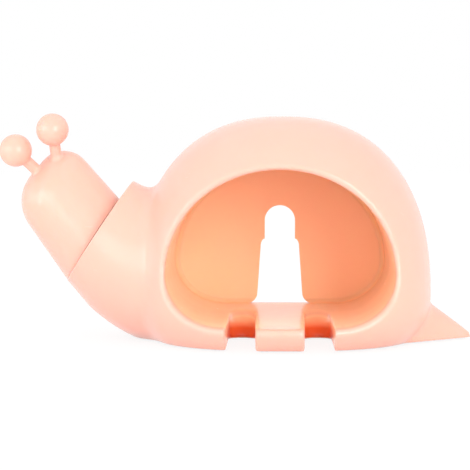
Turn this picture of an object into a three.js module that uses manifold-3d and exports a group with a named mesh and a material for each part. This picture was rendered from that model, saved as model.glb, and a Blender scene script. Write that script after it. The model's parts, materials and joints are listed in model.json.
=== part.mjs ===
// Snail-shaped desk holder: one hollow moulded body with a D-shaped mouth and two notches in its
// sill, a screwed rear cover with a bottle-shaped slot, a turning head and two stalked eyes.
// Millimetres. +Z is up, the tail points along +X and the mouth opens towards -Y. The forms are drawn
// with Y = 0 at the shell's widest section, and the finished pieces all move back by shiftY.

import * as THREE from 'three';
import { ConvexGeometry } from 'three/addons/geometries/ConvexGeometry.js';
import { mergeVertices } from 'three/addons/utils/BufferGeometryUtils.js';
import Module from 'manifold-3d';

const wasm = await Module();
wasm.setup();

// ---------------------------------------------------------------- driving dimensions

// Fits
const SEAT_GAP = 0.3; // between pieces that rest on or in each other
const OVERCUT = 1; // how far a cutting tool runs past the face it opens

// Main moulding
const WALL = 2.6; // wall of the body
const FOOT_PROUD = 0.5; // how far the feet lift the base off the table
const SHELL_X = 15.5; // middle of the shell, whose outline is a squarish oval
const SHELL_Z = 15.5; // height of the shell's widest level
const SHELL_HALF_WIDTH = 50.4;
const SHELL_RISE = 60.5; // from the widest level to the top
const SHELL_DROP = 25.5; // from the widest level to where the oval would close below the base
const SHELL_SQUARENESS = 2.33; // exponent of the oval: 2 is an ellipse
const SHELL_FRONT = 47.6; // from the widest section to the pole of the domed front
const SHELL_BACK = 42.6; // from the widest section to the flat back
const BACK_TAPER = 1.3; // how far the outline shrinks on the way to the back
const BACK_ROUND = 2.4; // rounding round the flat back

// Mouth: a D-shaped tunnel through the shell along Y
const MOUTH_X = 14.6; // middle of the mouth, the sill and the slot
const MOUTH_HALF_WIDTH = 37.7;
const MOUTH_RISE = 34.9; // arch above the springing line
const MOUTH_SPRING_Z = 24; // height of the springing line
const MOUTH_FLOOR_Z = 8;
const MOUTH_CORNER = 18.5; // half width of each rounded lower corner
const LIP_ROUND = 2.4; // rounding of the mouth's outer edge

// Notches in the sill and the groove behind each
const NOTCH_OFFSET = 13.35; // from the middle of the mouth
const NOTCH_FRONT_WIDTH = 11;
const NOTCH_REAR_WIDTH = 9.8;
const NOTCH_END_Y = -4.5; // the round end of each notch
const GROOVE_LENGTH = 25; // from the notch's end to the groove's rear edge
const GROOVE_CORNER = 2.2;
const GROOVE_RADIUS = 9; // of its round bottom
// The groove's bottom as it rolls over towards the notch: way from its rear edge and depth there
const GROOVE_ROLL = [[0, 0], [18, 2.3], [22.5, 4], [25, 6.4]];

// Neck, from the head's seam down into the shell
const SEAM_TILT = 33.5; // degrees from the seam's normal to the level
const SEAM_X = -46.9; // centre of the collar's end face
const SEAM_Z = 36.9;
const COLLAR_RADIUS = 20.4;
const COLLAR_EDGE = 0.8; // rounding of the collar's edge
const NECK_END_Z = 25.3; // height of the neck's axis inside the shell
const NECK_END_RADIUS = 30.2;
// The neck's stations, as shares of the way from the collar to the shell's middle, of the fall to
// NECK_END_Z, of the growth to NECK_END_RADIUS and of the seam's tilt
const NECK_STATIONS = [
  { along: 0, fall: 0, growth: 0, tilt: 1 },
  { along: 0.075, fall: 0.3, growth: 0.13, tilt: 1 },
  { along: 0.15, fall: 0.61, growth: 0.29, tilt: 0.9 },
  { along: 0.27, fall: 0.92, growth: 0.52, tilt: 0.57 },
  { along: 0.41, fall: 1, growth: 0.82, tilt: 0.24 },
  { along: 0.59, fall: 1, growth: 1, tilt: 0 },
];

// Head and its swivel
const HEAD_SEAT_RADIUS = 16; // of the head where it meets the collar
const HEAD_DROP = 4.3; // from the collar's centre down to the head's axis
const CHIN_RADIUS = 13.7; // of the ball that fills the head's lower front
const CHIN_X = -60.2;
const CHIN_Z = 47;
const BROW_RADIUS = 9.3; // of the ball that fills the head's top
const BROW_X = -59.2;
const BROW_Z = 55;
const SPIGOT_RADIUS = 7;
const SPIGOT_LENGTH = 5.4;
const SWIVEL_WASHER_RADIUS = 9.5;
const SWIVEL_WASHER_THICKNESS = 1.2;

// Eyes
const EYE_BALL_RADIUS = 5.5;
const EYE_STALK_RADIUS = 1.9;
const EYE_PIN_RADIUS = 1.4;
const EYE_PIN_LENGTH = 4.5;
const EYE_AIM_X = -60; // the point inside the head that both stalks aim at
const EYE_AIM_Z = 49.3;
const EYE_REACH = [22.5, 23.7]; // left and right, from that point to the ball's centre
const EYE_TILT = 64.9; // degrees from the level to the middle between the eyes
const EYE_SPREAD = 18.1; // degrees that each eye leans away from that middle
const EYE_LEAN = 20.5; // degrees that both eyes lean towards the side the head faces

// Tail
const TAIL_TIP_X = 80.3;
const TAIL_ROOT_X = 51.2;
const TAIL_ROOT_HALF_WIDTH = 22.5;
const TAIL_ROOT_HEIGHT = 22.5;
const TAIL_TIP_RADIUS = 1.1;

// Rear cover with its slot, and its screws
const COVER_THICKNESS = 2.6;
const COVER_MARGIN = 4.7; // from the shell's outline at the back to the cover's
const COVER_BOTTOM_Z = 5.4;
const LEDGE_WIDTH = 1.5; // what the cover's rim rests on
const LEDGE_DEPTH = 3;
const SLOT_NECK_WIDTH = 10.9;
const SLOT_TOP_Z = 43.5;
const SLOT_SHOULDER_Z = 29.9;
const SLOT_BODY_WIDTH = 13.9;
const SLOT_BASE_WIDTH = 16.2;
const SLOT_FOOT_WIDTH = 20.6;
const SLOT_FOOT_HEIGHT = 3.3;
const SLOT_FOOT_LIFT = 0.6; // how far the flare's curve stays above the floor
const SCREW_EDGE = 3.8; // from the cover's rim to a screw's axis
const SCREW_ANGLES = [58, 122, 182, 358]; // degrees round the oval, from the tail side upwards
const SCREW_SHANK_RADIUS = 1.5;
const SCREW_LENGTH = 9;
const SCREW_HEAD_RADIUS = 2.7;
const SCREW_HEAD_HEIGHT = 1.7;
const SCREW_HEAD_RIM = 0.3; // straight edge of the head
const SCREW_SINK = 0.1; // from the cover's face down to the head's
const CROSS_REACH = 1.7; // from the screw's axis to the end of each arm of its cross
const CROSS_HALF_WIDTH = 0.35;
const CROSS_DEPTH = 1.1;
const BOSS_RADIUS = 3.5;
const BOSS_LENGTH = 22;
const RIB_THICKNESS = 1.8;

// Ballast and feet
const BALLAST_HEIGHT = 14;
const BALLAST_HALF_WIDTH = 13;
const FOOT_RADIUS = 4.5;
const FOOT_HEIGHT = 1.5;
const FOOT_CHAMFER = 0.3;
const FOOT_SPREAD = 27; // from the shell's axis
const FOOT_FRONT_Y = -21;
const FOOT_BACK_Y = 28;

// Finishes
const PEACH = { color: 0xf6b795, roughness: 0.28, metalness: 0 };
const STEEL = { color: 0xb9bbbd, roughness: 0.35, metalness: 1 };
const IRON = { color: 0x5a5753, roughness: 0.6, metalness: 1 };
const RUBBER = { color: 0xd9d2c8, roughness: 0.8, metalness: 0 };

// ---------------------------------------------------------------- helpers

/** A manifold solid from a closed geometry, turned outwards if its faces point in. */
function solid(geometry) {
  const bare = geometry.clone();
  bare.deleteAttribute('normal');
  bare.deleteAttribute('uv');
  const merged = mergeVertices(bare, 1e-4);
  const points = merged.attributes.position.array;
  const faces = Array.from(merged.index.array);
  const kept = [];
  let volume = 0;
  const a = new THREE.Vector3();
  const b = new THREE.Vector3();
  const c = new THREE.Vector3();
  for (let i = 0; i < faces.length; i += 3) {
    const [p, q, r] = faces.slice(i, i + 3);
    if (p === q || q === r || r === p) continue;
    kept.push(p, q, r);
    volume += a.fromArray(points, p * 3).dot(b.fromArray(points, q * 3).cross(c.fromArray(points, r * 3)));
  }
  if (volume < 0) kept.reverse();
  return new wasm.Manifold(
    new wasm.Mesh({
      numProp: 3,
      vertProperties: Float32Array.from(points),
      triVerts: Uint32Array.from(kept),
    }),
  );
}

/** The geometry of a manifold solid. */
function geometryOf(manifold) {
  const { numProp, vertProperties, triVerts } = manifold.getMesh();
  const points = new Float32Array((vertProperties.length / numProp) * 3);
  for (let i = 0; i < points.length / 3; i++) {
    points.set(vertProperties.subarray(i * numProp, i * numProp + 3), i * 3);
  }
  const geometry = new THREE.BufferGeometry();
  geometry.setAttribute('position', new THREE.BufferAttribute(points, 3));
  geometry.setIndex(Array.from(triVerts));
  geometry.computeVertexNormals();
  return geometry;
}

/** A box between two corners. */
function block(low, high) {
  const size = high.map((value, axis) => value - low[axis]);
  const box = new THREE.BoxGeometry(...size);
  box.translate(...low.map((value, axis) => value + size[axis] / 2));
  return solid(box);
}

/** Joins rings of points, each ring round the same way, into a closed skin. */
function loft(rings, closedLoop = false) {
  const count = rings[0].length;
  const points = rings.flat();
  const faces = [];
  const spans = closedLoop ? rings.length : rings.length - 1;
  for (let i = 0; i < spans; i++) {
    const here = i * count;
    const next = ((i + 1) % rings.length) * count;
    for (let j = 0; j < count; j++) {
      const k = (j + 1) % count;
      faces.push(here + j, here + k, next + k, here + j, next + k, next + j);
    }
  }
  if (!closedLoop) {
    for (const [first, flip] of [[0, true], [(rings.length - 1) * count, false]]) {
      const centre = new THREE.Vector3();
      points.slice(first, first + count).forEach((point) => centre.add(point));
      points.push(centre.divideScalar(count));
      for (let j = 0; j < count; j++) {
        const edge = [first + j, first + ((j + 1) % count)];
        if (flip) edge.reverse();
        faces.push(...edge, points.length - 1);
      }
    }
  }
  const geometry = new THREE.BufferGeometry().setFromPoints(points);
  geometry.setIndex(faces);
  return solid(geometry);
}

/** A circle of points round `centre`, facing along `normal`, which lies in the XZ plane. */
function circle(centre, normal, radius, steps) {
  const side = new THREE.Vector3(0, 1, 0);
  const rise = new THREE.Vector3().crossVectors(side, normal).normalize();
  return Array.from({ length: steps }, (_, i) => {
    const angle = (i / steps) * Math.PI * 2;
    return centre
      .clone()
      .addScaledVector(side, Math.cos(angle) * radius)
      .addScaledVector(rise, Math.sin(angle) * radius);
  });
}

/** A round piece about Z from [radius, height] pairs that start and end on the axis. */
function turned(profile, steps = 32) {
  const points = profile.map(([radius, height]) => new THREE.Vector2(radius, height));
  const lathe = new THREE.LatheGeometry(points, steps);
  lathe.rotateX(Math.PI / 2);
  return solid(lathe);
}

/** A plain cylinder about Z between two heights. */
function rod(radius, low, high, steps = 32) {
  return turned([[0, low], [radius, low], [radius, high], [0, high]], steps);
}

/** Points a solid's +Z along `direction` and moves its origin to `place`. */
function aim(piece, direction, place) {
  const turn = new THREE.Quaternion().setFromUnitVectors(new THREE.Vector3(0, 0, 1), direction);
  const matrix = new THREE.Matrix4().compose(place, turn, new THREE.Vector3(1, 1, 1));
  return piece.transform(matrix.toArray());
}

/** Pushes an outline drawn in X and Z through the stretch of Y from `front` to `back`. */
function extrudeAlongY(outline, front, back, curveSegments = 24) {
  const bar = new THREE.ExtrudeGeometry(outline, {
    depth: back - front,
    bevelEnabled: false,
    curveSegments,
  });
  bar.rotateX(Math.PI / 2);
  bar.translate(0, back, 0);
  return solid(bar);
}

/** Degrees to radians. */
const radians = THREE.MathUtils.degToRad;

// ---------------------------------------------------------------- shared forms

const seamNormal = new THREE.Vector3(-Math.cos(radians(SEAM_TILT)), 0, Math.sin(radians(SEAM_TILT)));
const seamRise = new THREE.Vector3(Math.sin(radians(SEAM_TILT)), 0, Math.cos(radians(SEAM_TILT)));
const collarCentre = new THREE.Vector3(SEAM_X, 0, SEAM_Z);
const headSeat = collarCentre.clone().addScaledVector(seamRise, -HEAD_DROP);
const headStart = headSeat.clone().addScaledVector(seamNormal, SEAT_GAP);

/** A number's power for the shell's oval, with the number's sign kept. */
function signedPower(value, power) {
  return Math.sign(value) * Math.abs(value) ** power;
}

/** A point of the shell's outline in X and Z, `inset` inside it, `angle` radians round it. */
function shellPoint(inset, angle) {
  const height = Math.sin(angle) < 0 ? SHELL_DROP : SHELL_RISE;
  return {
    x: SHELL_X + (SHELL_HALF_WIDTH - inset) * signedPower(Math.cos(angle), 2 / SHELL_SQUARENESS),
    z: SHELL_Z + (height - inset) * signedPower(Math.sin(angle), 2 / SHELL_SQUARENESS),
  };
}

/** Where the domed front lies at a place in X and Z. */
function domeFrontY(x, z) {
  const height = z < SHELL_Z ? SHELL_DROP : SHELL_RISE;
  const across = Math.abs((x - SHELL_X) / SHELL_HALF_WIDTH) ** SHELL_SQUARENESS;
  const up = Math.abs((z - SHELL_Z) / height) ** SHELL_SQUARENESS;
  return -SHELL_FRONT * Math.max(0, 1 - across - up) ** (1 / SHELL_SQUARENESS);
}

/** The shell from its domed front to its flat back, `inset` inside its outer face. */
function shellForm(inset, steps, backY) {
  const front = SHELL_FRONT - inset;
  const round = Math.max(BACK_ROUND - inset, 0);
  const sections = [];
  const domeSteps = 16;
  for (let i = 1; i <= domeSteps; i++) {
    const angle = (i / domeSteps) * (Math.PI / 2);
    const share = Math.sin(angle) ** (2 / SHELL_SQUARENESS);
    sections.push({ inset, share, y: -front * Math.cos(angle) ** (2 / SHELL_SQUARENESS) });
  }
  const roundSteps = round > 0 ? 4 : 0;
  for (let i = 0; i <= roundSteps; i++) {
    const angle = roundSteps ? (i / roundSteps) * (Math.PI / 2) : 0;
    const shrink = inset + BACK_TAPER + round * (1 - Math.cos(angle));
    sections.push({ inset: shrink, share: 1, y: backY - round + round * Math.sin(angle) });
  }
  return loft(sections.map((section) => Array.from({ length: steps }, (_, i) => {
    const { x, z } = shellPoint(section.inset, (i / steps) * Math.PI * 2);
    return new THREE.Vector3(
      THREE.MathUtils.lerp(SHELL_X, x, section.share),
      section.y,
      THREE.MathUtils.lerp(SHELL_Z, z, section.share),
    );
  })));
}

/** The D-shaped outline of the mouth, grown by `offset` all round. */
function mouthOutline(offset) {
  const cornerRise = MOUTH_SPRING_Z - MOUTH_FLOOR_Z;
  const cornerX = MOUTH_HALF_WIDTH - MOUTH_CORNER;
  const outline = new THREE.Shape();
  outline.absellipse(
    MOUTH_X, MOUTH_SPRING_Z, MOUTH_HALF_WIDTH + offset, MOUTH_RISE + offset, 0, Math.PI, false, 0,
  );
  outline.absellipse(
    MOUTH_X - cornerX, MOUTH_SPRING_Z, MOUTH_CORNER + offset, cornerRise + offset,
    Math.PI, Math.PI * 1.5, false, 0,
  );
  outline.absellipse(
    MOUTH_X + cornerX, MOUTH_SPRING_Z, MOUTH_CORNER + offset, cornerRise + offset,
    Math.PI * 1.5, Math.PI * 2, false, 0,
  );
  return outline;
}

/** The neck as a loft of circles from the seam into the shell, `inset` inside its outer face. */
function neckForm(inset, steps) {
  const { lerp } = THREE.MathUtils;
  const rings = NECK_STATIONS.map(({ along, fall, growth, tilt }) => {
    const lean = radians(SEAM_TILT * tilt);
    const normal = new THREE.Vector3(-Math.cos(lean), 0, Math.sin(lean));
    const centre = new THREE.Vector3(lerp(SEAM_X, SHELL_X, along), 0, lerp(SEAM_Z, NECK_END_Z, fall));
    return circle(centre, normal, lerp(COLLAR_RADIUS, NECK_END_RADIUS, growth) - inset, steps);
  });
  if (inset === 0) {
    const roundSteps = 3;
    const edge = Array.from({ length: roundSteps + 1 }, (_, i) => {
      const angle = (i / roundSteps) * (Math.PI / 2);
      const back = COLLAR_EDGE * (1 - Math.sin(angle));
      const place = collarCentre.clone().addScaledVector(seamNormal, -back);
      return circle(place, seamNormal, COLLAR_RADIUS - COLLAR_EDGE * (1 - Math.cos(angle)), steps);
    });
    rings.splice(0, 1, ...edge.reverse());
  }
  return loft(rings);
}

/** Everything above the height `z`, as a block to cut with. */
function above(z) {
  const reach = 200;
  return block([-reach, -reach, z], [reach, reach, reach]);
}

/** Everything outside the collar's end wall, on the head's side of the seam plane. */
function beyondSeam(depth) {
  const reach = 60;
  const place = collarCentre.clone().addScaledVector(seamNormal, -depth);
  return aim(block([-reach, -reach, 0], [reach, reach, reach]), seamNormal, place);
}

// ---------------------------------------------------------------- main moulding

/** The tail: a cone of half-oval sections with a round, blunt tip. */
function tailForm() {
  const rings = [];
  const arcSteps = 16;
  const section = (x, width, height) => Array.from({ length: arcSteps + 1 }, (_, j) => {
    const angle = (j / arcSteps) * Math.PI;
    return new THREE.Vector3(x, Math.cos(angle) * width, FOOT_PROUD + Math.sin(angle) * height);
  });
  const tipX = TAIL_TIP_X - TAIL_TIP_RADIUS;
  rings.push(section(TAIL_ROOT_X, TAIL_ROOT_HALF_WIDTH, TAIL_ROOT_HEIGHT));
  const tipSteps = 5;
  for (let i = 0; i < tipSteps; i++) {
    const angle = (i / tipSteps) * (Math.PI / 2);
    const size = TAIL_TIP_RADIUS * Math.cos(angle);
    rings.push(section(tipX + TAIL_TIP_RADIUS * Math.sin(angle), size, size * 2));
  }
  return loft(rings);
}

/** The ring that rounds the mouth's outer edge where the tunnel meets the domed front. */
function lipCutter() {
  const around = mouthOutline(0).getSpacedPoints(96).slice(0, -1);
  const rings = around.map((point, i) => {
    const before = around[(i + around.length - 1) % around.length];
    const after = around[(i + 1) % around.length];
    const out = new THREE.Vector2(after.y - before.y, before.x - after.x).normalize();
    const place = (s) => new THREE.Vector2(point.x + out.x * s, point.y + out.y * s);
    const front = (s) => domeFrontY(place(s).x, place(s).y);
    const at = (s, y) => new THREE.Vector3(place(s).x, y, place(s).y);
    const sharp = front(0);
    const bend = new THREE.QuadraticBezierCurve(
      new THREE.Vector2(0, sharp + LIP_ROUND),
      new THREE.Vector2(0, sharp),
      new THREE.Vector2(LIP_ROUND, front(LIP_ROUND)),
    );
    const arc = bend.getPoints(5).map(({ x, y }) => at(x, y));
    const forward = Math.min(sharp, front(LIP_ROUND)) - OVERCUT * 3;
    return [at(-OVERCUT, sharp + LIP_ROUND), ...arc, at(LIP_ROUND, forward), at(-OVERCUT, forward)];
  });
  return loft(rings, true);
}

/** One notch through the sill, narrowing towards its round end. */
function notchTool(centreX) {
  const rear = NOTCH_REAR_WIDTH / 2;
  const front = NOTCH_FRONT_WIDTH / 2;
  const outline = new THREE.Shape();
  outline.moveTo(-front, -SHELL_FRONT - OVERCUT);
  outline.lineTo(front, -SHELL_FRONT - OVERCUT);
  outline.lineTo(rear, NOTCH_END_Y - rear);
  outline.absarc(0, NOTCH_END_Y - rear, rear, 0, Math.PI, false);
  outline.closePath();
  const bar = new THREE.ExtrudeGeometry(outline, {
    depth: MOUTH_FLOOR_Z + OVERCUT,
    bevelEnabled: false,
    curveSegments: 16,
  });
  bar.translate(centreX, 0, 0);
  return solid(bar);
}

/** The groove that runs out into the floor behind a notch and rolls over towards it. */
function grooveTool(centreX) {
  const half = NOTCH_REAR_WIDTH / 2;
  const front = NOTCH_END_Y - NOTCH_REAR_WIDTH;
  const back = NOTCH_END_Y + GROOVE_LENGTH;
  const outline = new THREE.Shape();
  outline.moveTo(-half, front);
  outline.lineTo(half, front);
  outline.lineTo(half, back - GROOVE_CORNER);
  outline.absarc(half - GROOVE_CORNER, back - GROOVE_CORNER, GROOVE_CORNER, 0, Math.PI / 2, false);
  outline.absarc(GROOVE_CORNER - half, back - GROOVE_CORNER, GROOVE_CORNER, Math.PI / 2, Math.PI, false);
  outline.closePath();
  const bar = new THREE.ExtrudeGeometry(outline, {
    depth: MOUTH_FLOOR_Z - FOOT_PROUD,
    bevelEnabled: false,
    curveSegments: 6,
  });
  bar.translate(centreX, 0, FOOT_PROUD + OVERCUT);
  const bottom = GROOVE_ROLL.map(
    ([way, depth]) => new THREE.Vector3(centreX, back - way, MOUTH_FLOOR_Z - depth),
  );
  let trough = null;
  for (let i = 1; i < bottom.length; i++) {
    const along = bottom[i].clone().sub(bottom[i - 1]).normalize();
    const up = new THREE.Vector3(0, along.z, -along.y);
    const middle = bottom[i].clone().lerp(bottom[i - 1], 0.5).addScaledVector(up, GROOVE_RADIUS);
    const roller = aim(rod(GROOVE_RADIUS, -GROOVE_LENGTH, GROOVE_LENGTH, 40), along, middle);
    trough = trough ? trough.add(roller) : roller;
  }
  return solid(bar).intersect(trough);
}

/** Where each cover screw stands, in X and Z. */
const screwPlaces = SCREW_ANGLES.map((angle) => shellPoint(
  BACK_TAPER + COVER_MARGIN + SCREW_EDGE,
  radians(angle),
));

/** Where each foot stands, in X and Y. */
const footPlaces = [
  { name: 'foot_front_left', x: SHELL_X - FOOT_SPREAD, y: FOOT_FRONT_Y },
  { name: 'foot_front_right', x: SHELL_X + FOOT_SPREAD, y: FOOT_FRONT_Y },
  { name: 'foot_back_left', x: SHELL_X - FOOT_SPREAD, y: FOOT_BACK_Y },
  { name: 'foot_back_right', x: SHELL_X + FOOT_SPREAD, y: FOOT_BACK_Y },
];

const coverFrontY = SHELL_BACK - COVER_THICKNESS;
const towardsFront = new THREE.Vector3(0, -1, 0);

/** The cover's outline, which follows the shell's down to a straight bottom edge. */
function coverOutline(clearance) {
  const inset = BACK_TAPER + COVER_MARGIN - clearance;
  const bottom = COVER_BOTTOM_Z - clearance;
  const drop = (SHELL_Z - bottom) / (SHELL_DROP - inset);
  const start = -Math.asin(drop ** (SHELL_SQUARENESS / 2));
  const steps = 80;
  const points = Array.from({ length: steps + 1 }, (_, i) => {
    const { x, z } = shellPoint(inset, THREE.MathUtils.lerp(start, Math.PI - start, i / steps));
    return new THREE.Vector2(x, z);
  });
  return new THREE.Shape(points);
}

/** The bosses and ribs that tie the tunnel to the shell and take the cover screws. */
function bossesAndRibs() {
  const back = coverFrontY - SEAT_GAP;
  let form = null;
  for (const { x, z } of screwPlaces) {
    const boss = aim(rod(BOSS_RADIUS, 0, BOSS_LENGTH, 24), towardsFront, new THREE.Vector3(x, back, z));
    const angle = THREE.MathUtils.radToDeg(Math.atan2(z - SHELL_Z, x - SHELL_X));
    const rib = block(
      [0, back - BOSS_LENGTH, -RIB_THICKNESS / 2],
      [SHELL_RISE + SHELL_HALF_WIDTH, back, RIB_THICKNESS / 2],
    )
      .rotate([0, -angle, 0])
      .translate([SHELL_X, 0, SHELL_Z]);
    const pair = boss.add(rib);
    form = form ? form.add(pair) : pair;
  }
  return form;
}

/** The hollow of the body, which opens at the back under the cover, inside the cover's ledge. */
function bodyHollow() {
  const floor = FOOT_PROUD + WALL;
  const wayIn = extrudeAlongY(
    coverOutline(-LEDGE_WIDTH), coverFrontY - LEDGE_DEPTH - OVERCUT, SHELL_BACK + OVERCUT,
  );
  const inside = shellForm(WALL, 48, coverFrontY - LEDGE_DEPTH).add(neckForm(WALL, 32)).add(wayIn);
  const room = inside.intersect(above(floor)).subtract(beyondSeam(WALL));
  const slab = block(
    [MOUTH_X - MOUTH_HALF_WIDTH, -SHELL_FRONT, 0],
    [MOUTH_X + MOUTH_HALF_WIDTH, SHELL_BACK + OVERCUT * 2, MOUTH_SPRING_Z],
  );
  const tunnel = extrudeAlongY(mouthOutline(WALL), -SHELL_FRONT - OVERCUT, SHELL_BACK + OVERCUT * 2);
  return room.subtract(slab).subtract(tunnel).subtract(bossesAndRibs());
}

/** The whole main moulding. */
function bodyShell() {
  let body = shellForm(0, 64, SHELL_BACK)
    .add(neckForm(0, 48))
    .add(tailForm())
    .intersect(above(FOOT_PROUD))
    .subtract(bodyHollow())
    .subtract(extrudeAlongY(mouthOutline(0), -SHELL_FRONT - OVERCUT, SHELL_BACK + OVERCUT))
    .subtract(extrudeAlongY(coverOutline(SEAT_GAP), coverFrontY - SEAT_GAP, SHELL_BACK + OVERCUT, 48))
    .subtract(lipCutter());
  for (const side of [-1, 1]) {
    const centreX = MOUTH_X + side * NOTCH_OFFSET;
    body = body.subtract(notchTool(centreX)).subtract(grooveTool(centreX));
  }
  for (const { x, z } of screwPlaces) {
    const pilot = rod(SCREW_SHANK_RADIUS + SEAT_GAP, -OVERCUT, SCREW_LENGTH, 20);
    body = body.subtract(aim(pilot, towardsFront, new THREE.Vector3(x, coverFrontY, z)));
  }
  for (const { x, y } of footPlaces) {
    const pocket = rod(FOOT_RADIUS + SEAT_GAP, 0, FOOT_HEIGHT + SEAT_GAP, 28);
    body = body.subtract(pocket.translate([x, y, 0]));
  }
  const bore = rod(SPIGOT_RADIUS + SEAT_GAP, -WALL - OVERCUT, OVERCUT, 36);
  return body.subtract(aim(bore, seamNormal, headSeat));
}

// ---------------------------------------------------------------- other pieces

/** The bottle-shaped slot in the rear cover, from the floor of the mouth up. */
function slotOutline() {
  const neck = SLOT_NECK_WIDTH / 2;
  const shoulder = SLOT_BODY_WIDTH / 2;
  const base = SLOT_BASE_WIDTH / 2;
  const foot = SLOT_FOOT_WIDTH / 2;
  const archZ = SLOT_TOP_Z - neck;
  const round = shoulder - neck;
  const outline = new THREE.Shape();
  outline.moveTo(-foot, MOUTH_FLOOR_Z);
  outline.lineTo(foot, MOUTH_FLOOR_Z);
  outline.quadraticCurveTo(base, MOUTH_FLOOR_Z + SLOT_FOOT_LIFT, base, MOUTH_FLOOR_Z + SLOT_FOOT_HEIGHT);
  outline.lineTo(shoulder, SLOT_SHOULDER_Z - round);
  outline.quadraticCurveTo(shoulder, SLOT_SHOULDER_Z, neck, SLOT_SHOULDER_Z + round);
  outline.lineTo(neck, archZ);
  outline.absarc(0, archZ, neck, 0, Math.PI, false);
  outline.lineTo(-neck, SLOT_SHOULDER_Z + round);
  outline.quadraticCurveTo(-shoulder, SLOT_SHOULDER_Z, -shoulder, SLOT_SHOULDER_Z - round);
  outline.lineTo(-base, MOUTH_FLOOR_Z + SLOT_FOOT_HEIGHT);
  outline.quadraticCurveTo(-base, MOUTH_FLOOR_Z + SLOT_FOOT_LIFT, -foot, MOUTH_FLOOR_Z);
  return outline;
}

/** The rear cover: a disc with a straight bottom, the slot and four countersunk holes. */
function rearCover() {
  let cover = extrudeAlongY(coverOutline(0), coverFrontY, SHELL_BACK, 48);
  const slot = extrudeAlongY(slotOutline(), coverFrontY - OVERCUT, SHELL_BACK + OVERCUT, 12);
  cover = cover.subtract(slot.translate([MOUTH_X, 0, 0]));
  for (const { x, z } of screwPlaces) {
    const hole = screwForm(SEAT_GAP, OVERCUT);
    cover = cover.subtract(aim(hole, towardsFront, new THREE.Vector3(x, SHELL_BACK, z)));
  }
  return cover;
}

/** A countersunk screw about Z with its head's face at the origin and its shank along +Z. */
function screwForm(growth = 0, overshoot = 0) {
  const shank = SCREW_SHANK_RADIUS + growth;
  const head = SCREW_HEAD_RADIUS + growth;
  return turned([
    [0, -overshoot],
    [head, -overshoot],
    [head, SCREW_HEAD_RIM],
    [shank, SCREW_HEAD_HEIGHT + growth],
    [shank, SCREW_LENGTH],
    [0, SCREW_LENGTH],
  ], 24);
}

/** A cover screw with its cross recess, its head just below the cover's face. */
function coverScrew({ x, z }) {
  const arm = block(
    [-CROSS_REACH, -CROSS_HALF_WIDTH, -OVERCUT],
    [CROSS_REACH, CROSS_HALF_WIDTH, CROSS_DEPTH],
  );
  const screw = screwForm().subtract(arm).subtract(arm.rotate([0, 0, 90]));
  return aim(screw, towardsFront, new THREE.Vector3(x, SHELL_BACK - SCREW_SINK, z));
}

/** The skin of the head, drawn tight round its seat and the two balls that fill it. */
function headSkin() {
  const balls = [[CHIN_RADIUS, CHIN_X, CHIN_Z], [BROW_RADIUS, BROW_X, BROW_Z]];
  const points = circle(headStart, seamNormal, HEAD_SEAT_RADIUS, 48);
  for (const [radius, x, z] of balls) {
    const places = new THREE.SphereGeometry(radius, 36, 24).translate(x, 0, z).attributes.position;
    for (let i = 0; i < places.count; i++) points.push(new THREE.Vector3().fromBufferAttribute(places, i));
  }
  return new ConvexGeometry(points);
}

/** The head: its skin, a spigot behind it, and the holes for the screw and the two eyes. */
function headForm() {
  const spigot = aim(rod(SPIGOT_RADIUS, -SPIGOT_LENGTH, OVERCUT, 36), seamNormal, headStart);
  let head = solid(headSkin()).add(spigot);
  const pilot = rod(SCREW_SHANK_RADIUS + SEAT_GAP, -SPIGOT_LENGTH - OVERCUT, SPIGOT_LENGTH, 20);
  head = head.subtract(aim(pilot, seamNormal, headStart));
  for (const eye of eyes) {
    const depth = eye.stalkEnd + EYE_PIN_LENGTH + SEAT_GAP;
    head = head.subtract(placeEye(rod(EYE_PIN_RADIUS + SEAT_GAP, -depth, 0, 20), eye));
  }
  return head;
}

/** How far from `start` along `direction` the head's skin lies. */
function wayToSkin(start, direction) {
  const skin = new THREE.Mesh(headSkin(), new THREE.MeshBasicMaterial({ side: THREE.DoubleSide }));
  return new THREE.Raycaster(start, direction).intersectObject(skin)[0].distance;
}

/** The two eyes: the way each leans, where its ball is and how far below that its stalk ends. */
const eyes = EYE_REACH.map((reach, i) => {
  const start = new THREE.Vector3(EYE_AIM_X, 0, EYE_AIM_Z);
  const middle = new THREE.Vector3(-Math.cos(radians(EYE_TILT)), 0, Math.sin(radians(EYE_TILT)));
  const across = new THREE.Vector3(0, 1, 0).cross(middle).normalize();
  const direction = middle
    .clone()
    .applyAxisAngle(new THREE.Vector3(0, 1, 0), (i === 0 ? -1 : 1) * radians(EYE_SPREAD))
    .applyAxisAngle(across, radians(EYE_LEAN));
  const ball = start.clone().addScaledVector(direction, reach);
  return { direction, ball, stalkEnd: reach - wayToSkin(start, direction) - SEAT_GAP };
});

/** Puts a piece drawn about the ball's centre, stalk along -Z, in the place of one eye. */
function placeEye(piece, { direction, ball }) {
  return aim(piece, direction, ball);
}

/** An eye: ball, stalk and press-in pin turned as one piece. */
function eyeForm(eye) {
  const end = eye.stalkEnd;
  const profile = [[0, -end - EYE_PIN_LENGTH], [EYE_PIN_RADIUS, -end - EYE_PIN_LENGTH],
    [EYE_PIN_RADIUS, -end], [EYE_STALK_RADIUS, -end]];
  const meet = Math.asin(EYE_STALK_RADIUS / EYE_BALL_RADIUS);
  const arcSteps = 12;
  for (let i = 0; i <= arcSteps; i++) {
    const angle = meet + (i / arcSteps) * (Math.PI - meet);
    profile.push([EYE_BALL_RADIUS * Math.sin(angle), -EYE_BALL_RADIUS * Math.cos(angle)]);
  }
  profile[profile.length - 1][0] = 0;
  return placeEye(turned(profile, 24), eye);
}

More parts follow.
